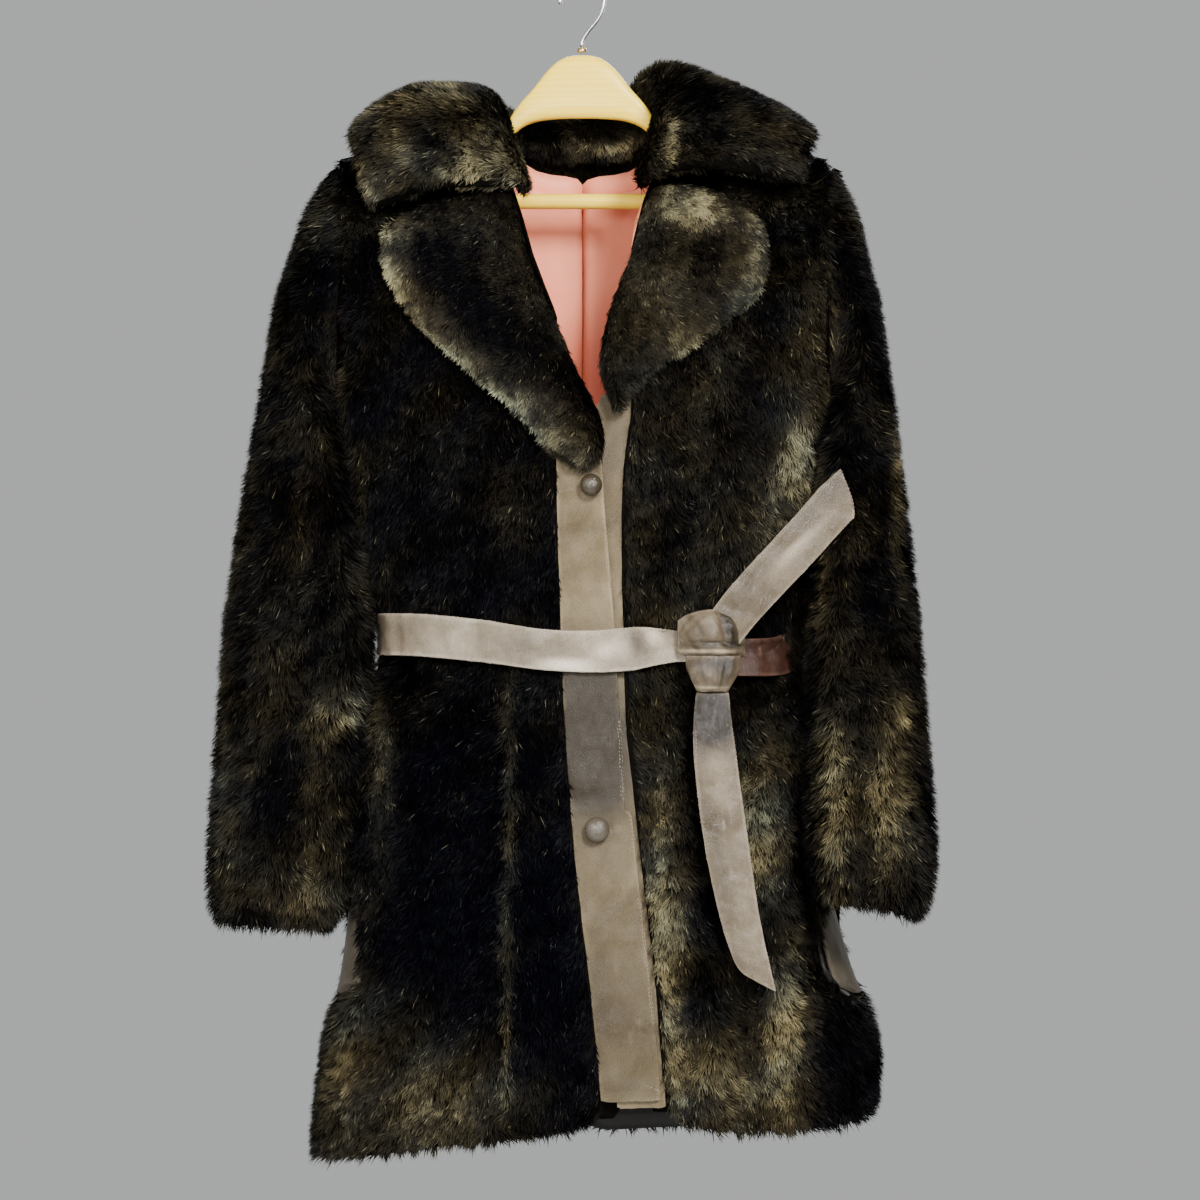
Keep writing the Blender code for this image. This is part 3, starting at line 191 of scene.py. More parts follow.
# Paler places (tone above 0) and darker ones (below 0), which hold painted highlights and painted
# shade besides the leather's own tone: x, z, half width and half height in millimetres, tone, slant
PAINTED_LIGHT_SHADE_AND_TONE = {
    "placket": (
        (10, -660, 60, 62, -1.6, 0), (6, -625, 10, 12, 0.12, 0), (0, -600, 50, 12, -0.5, 0),
        (20, -460, 10, 12, 0.22, 0.5), (0, -520, 12, 40, 0.06, 0), (30, -395, 6, 30, 0.25, 0),
        (12, -412, 30, 14, -0.45, 0), (48.6, -885.1, 3, 2.2, 0.5, 0), (16, -860, 10, 70, -0.25, 0),
        (40, -880, 50, 110, -0.55, 0), (24.6, -725.5, 12, 3, 0.35, 0.07), (30, -940, 40, 10, -0.2, 0)),
    "under_placket": (
        (30, -660, 50, 50, -0.7, 0), (30, -400, 30, 50, -0.3, 0), (40, -800, 50, 200, -0.3, 0)),
    "belt": (
        (-12, -590, 22, 4.5, 0.85, -0.05), (20, -578, 12, 7, 0.45, 0.3), (46, -572, 6, 16, -0.75, 0.5),
        (70, -556, 12, 6, -1.05, -0.5), (-50, -572, 22, 14, -0.38, 0), (-110, -575, 30, 10, 0.12, 0),
        (-150, -560, 24, 10, -0.3, 0), (60, -566, 8, 8, 0.4, 0)),
    "tail_up": (
        (178, -492, 30, 5, 0.45, 0.78), (190, -462, 40, 8, -0.45, 0.85), (140, -525, 22, 12, -0.45, 0.8),
        (215, -445, 8, 14, -0.15, 0), (150, -525, 16, 6, 0.22, 0.8)),
    "tail_down": (
        (108, -634, 22, 26, -1.8, 0.1), (112, -668, 12, 12, 0.4, 0.2), (118, -700, 10, 14, 0.22, 0),
        (118, -770, 8, 50, -0.4, 0.15), (140, -830, 14, 20, -0.12, 0), (108, -730, 6, 30, -0.2, 0.1)),
    "knot_wrap": (
        (93, -556, 3, 18, -0.25, 0.55), (121, -556, 6, 22, -1, 0.24), (98, -563.5, 10, 6, -0.3, 0),
        (108, -578.5, 28, 1.6, 1, 0), (108, -573.5, 28, 1.8, -0.8, 0), (110, -550, 6, 12, 0.18, 0.3),
        (131, -570, 8, 16, -0.45, 0)),
    "knot_throat": (
        (109, -608.5, 20, 1.4, 0.6, 0), (119, -596, 8, 14, -0.8, -0.25), (108, -588, 26, 5, -0.7, 0),
        (100, -598, 3, 12, -0.25, 0.25)),
}


# ---------------- arrays


def mesh_arrays(mesh):
    """A mesh's points and triangles."""
    mesh.calc_loop_triangles()
    co = np.empty(len(mesh.vertices) * 3)
    mesh.vertices.foreach_get("co", co)
    tri = np.empty(len(mesh.loop_triangles) * 3, np.int64)
    mesh.loop_triangles.foreach_get("vertices", tri)
    return co.reshape(-1, 3), tri.reshape(-1, 3)


def node_arrays(name):
    """The points and triangles of a CAD node, with doubled points merged."""
    co, tri = mesh_arrays(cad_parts[name].data)
    _, first, back = np.unique(np.round(co, 5), axis=0, return_index=True, return_inverse=True)
    tri = back.ravel()[tri]
    kept = (tri[:, 0] != tri[:, 1]) & (tri[:, 1] != tri[:, 2]) & (tri[:, 0] != tri[:, 2])
    return co[first], tri[kept]


def unit(v):
    """The vectors at length 1."""
    return v / np.maximum(np.linalg.norm(v, axis=-1, keepdims=True), 1e-12)


def face_normals(points, tris):
    """Each triangle's normal and area."""
    a, b, c = points[tris[:, 0]], points[tris[:, 1]], points[tris[:, 2]]
    cross = np.cross(b - a, c - a)
    area = np.linalg.norm(cross, axis=1) / 2
    return cross / np.maximum(2 * area[:, None], 1e-12), area


def point_normals(points, tris):
    normal, area = face_normals(points, tris)
    total = np.zeros_like(points)
    for k in range(3):
        np.add.at(total, tris[:, k], normal * area[:, None])
    return unit(total)


def compact(points, tris):
    """The same triangles with only the points that they use."""
    used, back = np.unique(tris, return_inverse=True)
    return points[used], back.reshape(tris.shape)


def add_object(name, data, place=(0, 0, 0)):
    ob = bpy.data.objects.new(name, data)
    ob.location = place
    bpy.context.scene.collection.objects.link(ob)
    return ob


def mesh_object(name, points, faces, materials, smooth=True):
    """An object of points and faces that all have as many corners."""
    mesh = bpy.data.meshes.new(name)
    faces = np.asarray(faces, np.int32)
    mesh.vertices.add(len(points))
    mesh.vertices.foreach_set("co", np.asarray(points, np.float32).ravel())
    mesh.loops.add(faces.size)
    mesh.loops.foreach_set("vertex_index", faces.ravel())
    mesh.polygons.add(len(faces))
    mesh.polygons.foreach_set("loop_start", np.arange(0, faces.size, faces.shape[1], dtype=np.int32))
    mesh.update(calc_edges=True)
    mesh.validate()
    if smooth:
        mesh.shade_smooth()
    for mat in materials:
        mesh.materials.append(mat)
    return add_object(name, mesh)


def dress(ob, node=None):
    """Puts a piece on the coat's body and, where it replaces a node, hides that node."""
    if node is not None:
        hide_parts(node)
    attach(ob, "root")


def evaluated(ob):
    """The points and triangles of an object with its modifiers on."""
    graph = bpy.context.evaluated_depsgraph_get()
    shape = ob.evaluated_get(graph)
    found = mesh_arrays(shape.to_mesh())
    shape.to_mesh_clear()
    return found


def join_flat(shape, angle):
    """Makes quads of triangles that lie flat within this many degrees."""
    bmesh.ops.join_triangles(
        shape, faces=shape.faces, angle_face_threshold=math.radians(angle),
        angle_shape_threshold=math.radians(60))


def subdivided(points, tris, levels, creased=False):
    """A smoother copy: quads where two triangles lie nearly flat, then subdivided."""
    ob = mesh_object("work", points, tris, [])
    shape = bmesh.new()
    shape.from_mesh(ob.data)
    join_flat(shape, 35)
    if creased:
        layer = shape.edges.layers.float.new("crease_edge")
        for edge in shape.edges:
            if edge.is_boundary or edge.calc_face_angle(0.0) > math.radians(48):
                edge[layer] = 0.75
    shape.to_mesh(ob.data)
    shape.free()
    mod = ob.modifiers.new("Smooth", "SUBSURF")
    mod.levels = levels
    mod.render_levels = levels
    found = evaluated(ob)
    bpy.data.objects.remove(ob)
    return found


def ramp_up(values, low, high):
    """0 below low, 1 above high, soft between."""
    t = np.clip((values - low) / (high - low), 0, 1)
    return t * t * (3 - 2 * t)


def waves(points, size, rng, count=9):
    """Smooth noise of about -1 to 1 with bumps of this size, or of these three sizes."""
    turn = unit(rng.normal(size=(count, 3))) * rng.uniform(0.7, 1.5, (count, 1))
    turn = 2 * math.pi * turn / np.asarray(size, float)
    return np.sin(points @ turn.T + rng.uniform(0, 6.28, count)).sum(1) / math.sqrt(count * 0.7)


def spot(points, x, z, wide, high, slant):
    """A soft round weight about a place on the front, turned by slant."""
    dx, dz = points[:, 0] - x, points[:, 2] - z
    run = dx * math.cos(slant) + dz * math.sin(slant)
    rise = -dx * math.sin(slant) + dz * math.cos(slant)
    return np.exp(-(run / wide) ** 2 - (rise / high) ** 2)


def in_metres(rows, lengths):
    """The rows of a table with their first values, the lengths, turned from millimetres to metres."""
    return [[value / 1000 for value in row[:lengths]] + list(row[lengths:]) for row in rows]


def seeded(name):
    """Random numbers that are always the same for a name."""
    return np.random.default_rng(sum(ord(letter) * 31 ** i for i, letter in enumerate(name)) % 2 ** 32)


# ---------------- materials


class Nodes:
    """A short way to write a material's node tree."""

    def __init__(self, name):
        self.mat = bpy.data.materials.new(name)
        self.mat.use_nodes = True
        self.tree = self.mat.node_tree
        self.shader = self.tree.nodes["Principled BSDF"]
        self.place = self.tree.nodes.new("ShaderNodeTexCoord").outputs["Object"]

    def put(self, socket, value):
        """Links a socket to another or sets it, a colour without its alpha."""
        if isinstance(value, bpy.types.NodeSocket):
            self.tree.links.new(value, socket)
        else:
            socket.default_value = (*value, 1.0) if socket.type == "RGBA" else value

    def add(self, kind, *links, **settings):
        """A node with these settings, and its sockets linked or set."""
        node = self.tree.nodes.new("ShaderNode" + kind)
        for key, value in settings.items():
            setattr(node, key, value)
        for socket, value in links:
            self.put(node.inputs[socket], value)
        return node

    def scaled(self, x, y, z):
        """The object's coordinates, scaled."""
        return self.add("Mapping", ("Vector", self.place), ("Scale", (x, y, z))).outputs["Vector"]

    def noise(self, scale, detail=3.0, rough=0.55, where=None, distort=0.0):
        return self.add(
            "TexNoise", ("Vector", where or self.place), ("Scale", scale), ("Detail", detail),
            ("Roughness", rough), ("Distortion", distort)).outputs["Fac"]

    def ramp(self, value, *stops):
        node = self.add("ValToRGB", ("Fac", value))
        elements = node.color_ramp.elements
        while len(elements) < len(stops):
            elements.new(0.5)
        for element, (at, colour) in zip(elements, stops):
            element.position = at
            element.color = (*colour, 1.0) if hasattr(colour, "__len__") else (colour, colour, colour, 1.0)
        return node.outputs["Color"]

    def math(self, operation, a, b=0.0, c=0.0):
        return self.add("Math", (0, a), (1, b), (2, c), operation=operation).outputs["Value"]

    def mix(self, factor, a, b, blend="MIX"):
        return self.add("Mix", (0, factor), (6, a), (7, b), data_type="RGBA", blend_type=blend).outputs[2]

    def bump(self, height, strength, distance, before=None):
        links = [("Height", height), ("Strength", strength), ("Distance", distance)]
        if before is not None:
            links.append(("Normal", before))
        return self.add("Bump", *links).outputs["Normal"]

    def wear(self, **inputs):
        """Sets or links the shader's sockets, written with _ for a space."""
        for key, value in inputs.items():
            self.put(self.shader.inputs[key.replace("_", " ")], value)
        return self.mat


def pile_material():
    """Strands: near black at the root, lit by each strand's own shade and warmth at the tip."""
    n = Nodes("pile")
    strand = n.add("SeparateXYZ", ("Vector", n.add("UVMap", uv_map="UVMap").outputs["UV"]))
    tint = n.add("SeparateXYZ", ("Vector", n.add("UVMap", uv_map="tint").outputs["UV"]))
    shade, along = strand.outputs["X"], strand.outputs["Y"]
    warm = tint.outputs["X"]
    deep = n.mix(warm, (0.0005, 0.0005, 0.0028), (0.0016, 0.0009, 0.0005))
    low = n.mix(warm, (0.04, 0.041, 0.034), (0.062, 0.048, 0.024))
    high = n.mix(warm, (0.4, 0.415, 0.275), (0.415, 0.335, 0.165))
    body = n.ramp(shade, (0, 0), (0.42, 1))
    glint = n.ramp(shade, (0.36, 0), (1, 1))
    colour = n.mix(glint, n.mix(body, deep, low), high)
    tip = n.ramp(along, (0.2, 0.12), (0.9, 1))
    colour = n.mix(1, colour, tip, "MULTIPLY")
    return n.wear(Base_Color=colour, Roughness=0.55, Specular_IOR_Level=0.05)


def backing_material():
    """The near black cloth under the pile."""
    n = Nodes("backing")
    grain = n.noise(420, 2)
    clump = n.noise(60, 3)
    colour = n.mix(clump, (0.001, 0.0009, 0.0008), (0.005, 0.004, 0.0025))
    return n.wear(
        Base_Color=colour, Roughness=0.9, Specular_IOR_Level=0.03, Normal=n.bump(grain, 0.6, 0.002))


def satin_material(name, half_width):
    """Coral satin, which ends in a dark facing near the hem and turns near black as painted shade beyond
    this half width.
    """
    n = Nodes(name)
    weave = n.add(
        "TexWave", ("Vector", n.scaled(1, 1, 0.06)), ("Scale", 420), ("Distortion", 2),
        bands_direction="DIAGONAL").outputs["Fac"]
    cloud = n.noise(9, 4)
    where = n.add("SeparateXYZ", ("Vector", n.place))
    above = n.math("GREATER_THAN", where.outputs["Z"], SATIN_HEM)
    within = n.math("LESS_THAN", n.math("ABSOLUTE", where.outputs["X"]), half_width)
    colour = n.ramp(cloud, (0.3, (0.88, 0.235, 0.13)), (0.7, (1, 0.36, 0.215)))
    # Near black below the hem line, as the facing, and beyond the half width, as painted shade
    colour = n.mix(n.math("MULTIPLY", above, within), (0.004, 0.003, 0.002), colour)
    return n.wear(
        Base_Color=colour, Roughness=n.ramp(cloud, (0.3, 0.34), (0.7, 0.46)), Sheen_Weight=0.06,
        Sheen_Roughness=0.35, Specular_IOR_Level=0.2, Normal=n.bump(weave, 0.12, 0.0006))


def leather_material(name, dark, mid, pale, gloss=0.4, shine=0.24):
    """Worn leather: pores and grain, cloudy colour, pale rubbed spots and shiny patches, and the painted
    highlights and shade that the wear attribute brings.
    """
    n = Nodes(name)
    pores = n.add(
        "TexVoronoi", ("Vector", n.place), ("Scale", 720), feature="DISTANCE_TO_EDGE").outputs["Distance"]
    fine = n.noise(1400, 2)
    cloud = n.noise(16, 5, 0.62, distort=0.4)
    streak = n.noise(70, 3, 0.6, n.scaled(1, 1, 0.35))
    rubbed = n.ramp(n.noise(34, 6, 0.72), (0.6, 0), (0.74, 1))
    colour = n.ramp(cloud, (0.28, dark), (0.52, mid), (0.78, pale))
    colour = n.mix(n.math("MULTIPLY", n.ramp(streak, (0.5, 0), (0.7, 1)), 0.3), colour, dark)
    colour = n.mix(n.math("MULTIPLY", rubbed, 0.35), colour, pale)
    # The wear attribute brings painted highlights (pale) and painted shade (dark) with the leather's own
    # tone
    painted_light_and_tone = n.add("Attribute", attribute_name="wear").outputs["Fac"]
    colour = n.mix(n.ramp(painted_light_and_tone, (0, 1), (0.5, 0)), colour, tuple(0.3 * c for c in dark))
    colour = n.mix(n.ramp(painted_light_and_tone, (0.5, 0), (1, 1)), colour, tuple(min(1.9 * c, 0.9) for c in pale))
    cracks = n.ramp(pores, (0, 0.7), (0.16, 1))
    colour = n.mix(1, colour, cracks, "MULTIPLY")
    rough = n.math("ADD", n.math("MULTIPLY", cloud, 0.3), gloss - 0.12)
    normal = n.bump(n.ramp(pores, (0, 0), (0.22, 1)), 0.35, 0.0004)
    normal = n.bump(fine, 0.15, 0.0003, normal)
    normal = n.bump(streak, 0.35, 0.0015, normal)
    return n.wear(Base_Color=colour, Roughness=rough, Specular_IOR_Level=shine, Normal=normal)


def wood_material():
    """Yellow varnished wood with its grain along the arms."""
    n = Nodes("varnished wood")
    grain = n.add(
        "TexWave", ("Vector", n.scaled(0.16, 1, 1)), ("Scale", 60), ("Distortion", 5),
        ("Detail", 3), ("Detail Scale", 1.4), bands_direction="Z").outputs["Fac"]
    fine = n.noise(90, 3, 0.6, n.scaled(0.12, 1, 1))
    colour = n.ramp(
        grain, (0, (0.97, 0.64, 0.04)), (0.45, (0.99, 0.69, 0.048)), (1, (1, 0.73, 0.06)))
    colour = n.mix(n.math("MULTIPLY", fine, 0.12), colour, (0.92, 0.55, 0.04))
    return n.wear(
        Base_Color=colour, Roughness=0.38, Specular_IOR_Level=0.25, Coat_Weight=0.12, Coat_Roughness=0.16,
        Normal=n.bump(grain, 0.05, 0.001))


def metal_material(name, colour, rough):
    """Metal with fine scratches."""
    n = Nodes(name)
    scratch = n.noise(180, 3, 0.6, n.scaled(1, 1, 8))
    return n.wear(
        Base_Color=n.mix(scratch, colour, tuple(0.75 * c for c in colour)), Metallic=1,
        Roughness=n.math("ADD", n.math("MULTIPLY", scratch, 0.2), rough))


def thread_material(name, colour):
    n = Nodes(name)
    twist = n.noise(900, 1)
    return n.wear(
        Base_Color=n.mix(twist, colour, tuple(0.6 * c for c in colour)), Roughness=0.65,
        Normal=n.bump(twist, 0.3, 0.0003))


def plain_material(name, colour, rough):
    n = Nodes(name)
    cloud = n.noise(2, 2)
    return n.wear(Base_Color=n.mix(cloud, colour, tuple(0.96 * c for c in colour)), Roughness=rough)


# ---------------- cloth


def core_of(name, centres, points):
    """For each place, a point deep inside the coat or the sleeve at its height."""
    core = np.zeros_like(centres)
    if name.startswith("sleeve"):
        for i, place in enumerate(centres):
            near = points[np.abs(points[:, 2] - place[2]) < SLEEVE_SLICE]
            core[i] = (near.min(0) + near.max(0)) / 2
            core[i, 2] = place[2]
        return core
    core[:, 0] = np.clip(centres[:, 0], -CORE_HALF_WIDTH, CORE_HALF_WIDTH)
    core[:, 2] = np.minimum(centres[:, 2], CORE_TOP)
    return core


def outwardness(name, points, tris):
    """How squarely each face looks out of the coat or the sleeve, from -1 to 1."""
    normal, _ = face_normals(points, tris)
    centres = points[tris].mean(1)
    away = unit(centres - core_of(name, centres, points))
    return (normal * away).sum(1)


def one_side(name, inner=False):
    """The outer (or inner) face of a node's wall."""
    points, tris = node_arrays(name)
    facing = outwardness(name, points, tris)
    kept = facing < -0.25 if inner else facing > 0.25
    if name.startswith("sleeve"):
        normal, _ = face_normals(points, tris)
        centres = points[tris].mean(1)
        toward_body = np.sign(centres[:, 0]) * normal[:, 0] < -0.8
        kept &= ~(toward_body & (np.abs(centres[:, 0]) < ARMHOLE_X) & (centres[:, 2] > ARMHOLE_LOW))
    return compact(points, tris[kept])


def surface_tree(points, tris):
    return BVHTree.FromPolygons([tuple(p) for p in points], [tuple(t) for t in tris])


def edges_of(tris):
    """Each triangle's three edges."""
    return np.concatenate([tris[:, [0, 1]], tris[:, [1, 2]], tris[:, [2, 0]]])


def edge_places(points, tris):
    """The points on the open edge of a surface."""
    edges = np.sort(edges_of(tris), axis=1)
    found, count = np.unique(edges, axis=0, return_counts=True)
    return points[np.unique(found[count == 1])]


def nearest(places, found):
    """For each found point, which of the places is nearest and how far it is."""
    tree = kdtree.KDTree(len(places))
    for i, place in enumerate(places):
        tree.insert(place, i)
    tree.balance()
    hits = [tree.find(place) for place in found]
    return np.array([hit[1] for hit in hits]), np.array([hit[2] for hit in hits])


def scatter(points, tris, values, count, rng, weight=None):
    """Places spread evenly over a surface, and the values that its points have there."""
    _, area = face_normals(points, tris)
    if weight is not None:
        area = area * weight
    ends = np.cumsum(area)
    picks = np.searchsorted(ends, (np.arange(count) + rng.random(count)) * ends[-1] / count)
    picks = np.minimum(picks, len(tris) - 1)
    a, b = rng.random((2, count, 1))
    over = a + b > 1
    a, b = np.where(over, 1 - a, a), np.where(over, 1 - b, b)
    corner = tris[picks]
    table = np.concatenate([points, values], axis=1)
    table = table[corner[:, 0]] * (1 - a - b) + table[corner[:, 1]] * a + table[corner[:, 2]] * b
    return table[:, :3], table[:, 3:]


def comb(name, place, normal, rng):
    """The way the pile lies, along the surface."""
    way = np.tile((0.0, 0.0, -1.0), (len(place), 1))
    if name.startswith("collar"):
        out = place * (1.0, 1.2, 0.0)
        way = unit(out) * 0.9 + way * 0.55
    elif name.startswith("lapel"):
        side = -1.0 if name.endswith("left") else 1.0
        way = np.tile((0.55 * side, 0.0, -0.84), (len(place), 1))
    elif name.startswith("sleeve"):
        way = way + np.sign(place[:, :1]) * (0.18, 0.0, 0.0)
    swirl = np.stack([waves(place, SWIRL_SIZE, rng) for _ in range(3)], 1)
    way = way + 0.33 * swirl
    return unit(way - normal * (way * normal).sum(1, keepdims=True))


def lit_rim_reach(name, place):
    """How fully each place lies in the painted lit band along a lapel's outer edge."""
    band, _, rim = LIT_RIMS[name]
    rim = np.array(rim) / (1000, 1000, 1)
    steps = np.concatenate([np.linspace(a, b, 24) for a, b in zip(rim, rim[1:])])
    flat = np.stack([place[:, 0], np.zeros(len(place)), place[:, 2]], 1)
    which, away = nearest([(x, 0.0, z) for x, z, _ in steps], flat)
    return np.exp(-(away / band) ** 2) * steps[which, 2]


def shades(name, place, normal, rng):
    """The shade and warmth of each place: painted light and shade from the resting shade, the patches and
    the lit lapel rims, and soft clouds of tone.
    """
    _, base, warm, _, _ = PILES[name]
    shade = np.full(len(place), base)
    if name.startswith("collar"):
        shade += (COLLAR_BACK_SHADE - base) * ramp_up(place[:, 1], -0.015, 0.02)
    change = min(0.035 + 0.45 * base, 0.12)
    shade += change * (waves(place, (0.06, 0.06, 0.11), rng) + 0.6 * waves(place, 0.018, rng))
    warmth = warm + 0.22 * waves(place, 0.07, rng) + 0.1 * rng.normal(size=len(place))
    front = np.clip(-normal[:, 1] * 2.0, 0, 1)
    light_and_shade = FOLD_PAINTED_LIGHT_AND_SHADE if name.startswith(("collar", "lapel")) else PAINTED_LIGHT_AND_SHADE
    for x, z, wide, high, more, warmer in in_metres(light_and_shade, 4):
        reach = spot(place, x, z, wide, high, 0.0) * front
        shade += more * reach
        warmth += warmer * reach
    if name in LIT_RIMS:
        reach = lit_rim_reach(name, place)
        shade += LIT_RIMS[name][1] * reach * (0.75 + 0.25 * waves(place, 0.03, rng))
        warmth -= 0.25 * reach
    return shade, warmth


def shortened_at_edge(points, tris, place, way, long, length):
    """Strands that point over the edge of their piece end soon after it."""
    edge = edge_places(points, tris)
    if not len(edge):
        return long
    edge_at, away = nearest(edge, place)
    toward = ((edge[edge_at] - place) * way).sum(1) / np.maximum(away, 1e-6)
    short = np.clip((away + PAST_EDGE) / length, 0, 1)
    return np.where(toward > 0.2, np.minimum(long, length * short), long)


def pile(name, points, tris, depth, mat, weight=None):
    """The strands of one piece of fur, rooted on its backing at this depth below the tips."""
    count, _, _, length, lift = PILES[name]
    rng = seeded(name)
    values = np.concatenate([point_normals(points, tris), depth[:, None]], axis=1)
    place, values = scatter(points, tris, values, count, rng, weight)
    normal, deep = unit(values[:, :3]), np.clip(values[:, 3] / lift, 0.12, 1.0)
    way = comb(name, place, normal, rng)

    # Strands near each other stand in tufts, which share a turn, length, rise, gathering and colour
    tufts = rng.choice(count, count // STRANDS_A_TUFT, replace=False)
    tuft, _ = nearest(place[tufts], place)
    turned, grown, raised, drawn, shaded, warmed = rng.random((6, len(tufts)))[:, tuft]
    turn = (turned - 0.5) * 0.9 + rng.normal(size=count) * 0.3
    side = np.cross(normal, way)
    way = way * np.cos(turn)[:, None] + side * np.sin(turn)[:, None]
    long = length * (0.8 + 0.26 * grown + rng.normal(size=count) * 0.08) * (0.55 + 0.45 * deep)
    rise = lift * deep * np.clip(0.68 + 0.36 * raised + rng.normal(size=count) * 0.1, 0.45, 1.18)
    long = shortened_at_edge(points, tris, place, way, long, length)
    run = np.sqrt(np.maximum(long ** 2 - rise ** 2, (0.35 * long) ** 2))[:, None]
    tip = place + normal * rise[:, None] + way * run
    gather = place[tufts][tuft] + normal * rise[:, None] + way * run
    tip += (gather - tip) * (0.12 + 0.26 * drawn)[:, None]

    side = np.cross(normal, unit(tip - place))
    roll = rng.normal(size=(count, 1)) * 0.5
    side = unit(side * np.cos(roll) + normal * np.sin(roll))
    wide = STRAND_HALF_WIDTH + STRAND_VARIES * rng.random((count, 1))
    root = place - normal * ROOT_SUNK
    corners = np.stack([root + side * wide, root - side * wide, tip], 1).reshape(-1, 3)
    ob = mesh_object("pile_" + name, corners, np.arange(3 * count).reshape(-1, 3), [mat], smooth=False)

    shade, warmth = shades(name, place, normal, rng)
    shade = shade * (0.6 + 0.8 * shaded) + rng.normal(size=count) * 0.045
    glints = rng.random(count) < 0.025 + 0.05 * np.clip(shade, 0, 1)
    shade = np.clip(np.where(glints, shade + 0.45 * rng.random(count), shade), 0, 1)
    warmth = np.clip(warmth + (warmed - 0.5) * 0.25, 0, 1)
    along = np.tile((0.0, 0.0, 1.0), count)
    for layer, across, up in (("UVMap", shade, along), ("tint", warmth, 0.0 * along)):
        ob.data.uv_layers.new(name=layer)
        both = np.stack([np.repeat(across, 3), up], 1).astype(np.float32)
        ob.data.uv_layers[layer].uv.foreach_set("vector", both.ravel())
    ob.data.uv_layers.active_index = 0
    dress(ob)
    return ob


def faced(points, tris, way):
    """A front with its facing: the cloth turned in behind the placket."""
    edges = edges_of(tris)
    known = {(int(a), int(b)) for a, b in edges}
    free = np.array([(a, b) for a, b in edges if (int(b), int(a)) not in known])
    middle = points[free].mean(1)
    low, high = FACING_LEVELS
    in_front = np.abs(middle[:, 0] - FACING_MIDDLE) < FACING_REACH
    free = free[(middle[:, 2] < high) & (middle[:, 2] > low) & in_front]
    a, b = free.T
    steep = np.abs(points[a, 2] - points[b, 2]) > np.abs(points[a, 0] - points[b, 0])
    free = free[steep]
    used, back = np.unique(free, return_inverse=True)
    back = back.reshape(free.shape) + len(points)
    turned = points[used] + np.multiply((way, 1.0, 1.0), FACING_TURN)
    inside = turned + np.multiply((way, 1.0, 1.0), FACING_WIDTH)
    faces = [tris]
    for near, far in ((free, back), (back, back + len(used))):
        faces.append(np.stack([near[:, 1], near[:, 0], far[:, 0]], 1))
        faces.append(np.stack([near[:, 1], far[:, 0], far[:, 1]], 1))
    return np.concatenate([points, turned, inside]), np.concatenate(faces)


def under_arm(name, points, normals):
    """How far a place lies where body and sleeve touch: 1 there, 0 elsewhere."""
    x, _, z = points.T
    height = ramp_up(z, -0.83, -0.78) * ramp_up(-z, 0.34, 0.38)
    if name.startswith("sleeve"):
        return height * ramp_up(-np.sign(x) * normals[:, 0], 0.1, 0.6)
    return height * ramp_up(np.abs(x), 0.155, 0.18)


def closing_shift(name, points, touching):
    """How far body and sleeve move to each other along X, so that no light falls between them."""
    x, _, z = points.T
    sleeve = name.startswith("sleeve")
    outward = np.sign(x) * (-1.0 if sleeve else 1.0)
    shoulder = ramp_up(z, -0.29, -0.235) * (np.abs(x) > 0.15)
    cuff = touching * ramp_up(-z, 0.62, 0.7) * sleeve
    return (CLOSER_BODY * touching + CLOSER_CUFF * cuff + CLOSER_SHOULDER * shoulder) * outward


def fur_panel(name, mats):
    """A front, back or sleeve: a thin backing with the satin inside, and its pile."""
    sleeve = name.startswith("sleeve")
    points, tris = subdivided(*one_side(name), 1)
    normals = point_normals(points, tris)
    edge = edge_places(points, tris)
    seam = edge[edge[:, 2] > (CUFF_SEAM if sleeve else HEM_SEAM)]
    if not sleeve:
        seam = seam[(np.abs(seam[:, 0]) < VENT_X) | (seam[:, 2] > VENT_TOP)]
    _, away = nearest(seam, points)
    touching = under_arm(name, points, normals)
    depth = PILE_DEPTH * (0.2 + 0.8 * np.clip(away / SEAM_REACH, 0, 1) ** 0.6)
    sunk = depth * (1.0 - touching)
    off_middle = np.abs(points[:, 0]) > 0.1
    depth = np.maximum(depth, PILE_DEPTH * np.maximum(0.8 * touching, 0.7 * off_middle))
    points = points - normals * sunk[:, None]
    points[:, 0] += closing_shift(name, points, touching)
    strands = pile(name, points, tris, depth, mats["pile"])
    if name.startswith("front"):
        points, tris = faced(points, tris, 1.0 if name.endswith("left") else -1.0)
    shell = mesh_object("cloth_" + name, points, tris, [mats["backing"], mats["inner satin"]])
    mod = shell.modifiers.new("Cloth", "SOLIDIFY")
    mod.thickness = BACKING
    mod.offset = -1.0
    mod.material_offset = 1
    dress(shell, name)


def wall_behind(points, tris, normals):
    """How thick the fold is behind each of its points."""
    tree = surface_tree(points, tris)
    depth = np.empty(len(points))
    for i, (place, normal) in enumerate(zip(points, normals)):
        hit = tree.ray_cast(Vector(place - normal * 0.0003), Vector(-normal), 0.1)
        depth[i] = hit[3] if hit[0] is not None else 0.01
    return depth


def evened(values, tris, rounds):
    """The points' values, evened out with those of their neighbours."""
    for _ in range(rounds):
        total, times = np.zeros(len(values)), np.zeros(len(values))
        for a, b in ((0, 1), (1, 2), (2, 0)):
            np.add.at(total, tris[:, a], values[tris[:, b]])
            np.add.at(times, tris[:, a], 1.0)
        values = 0.5 * values + 0.5 * total / times
    return values


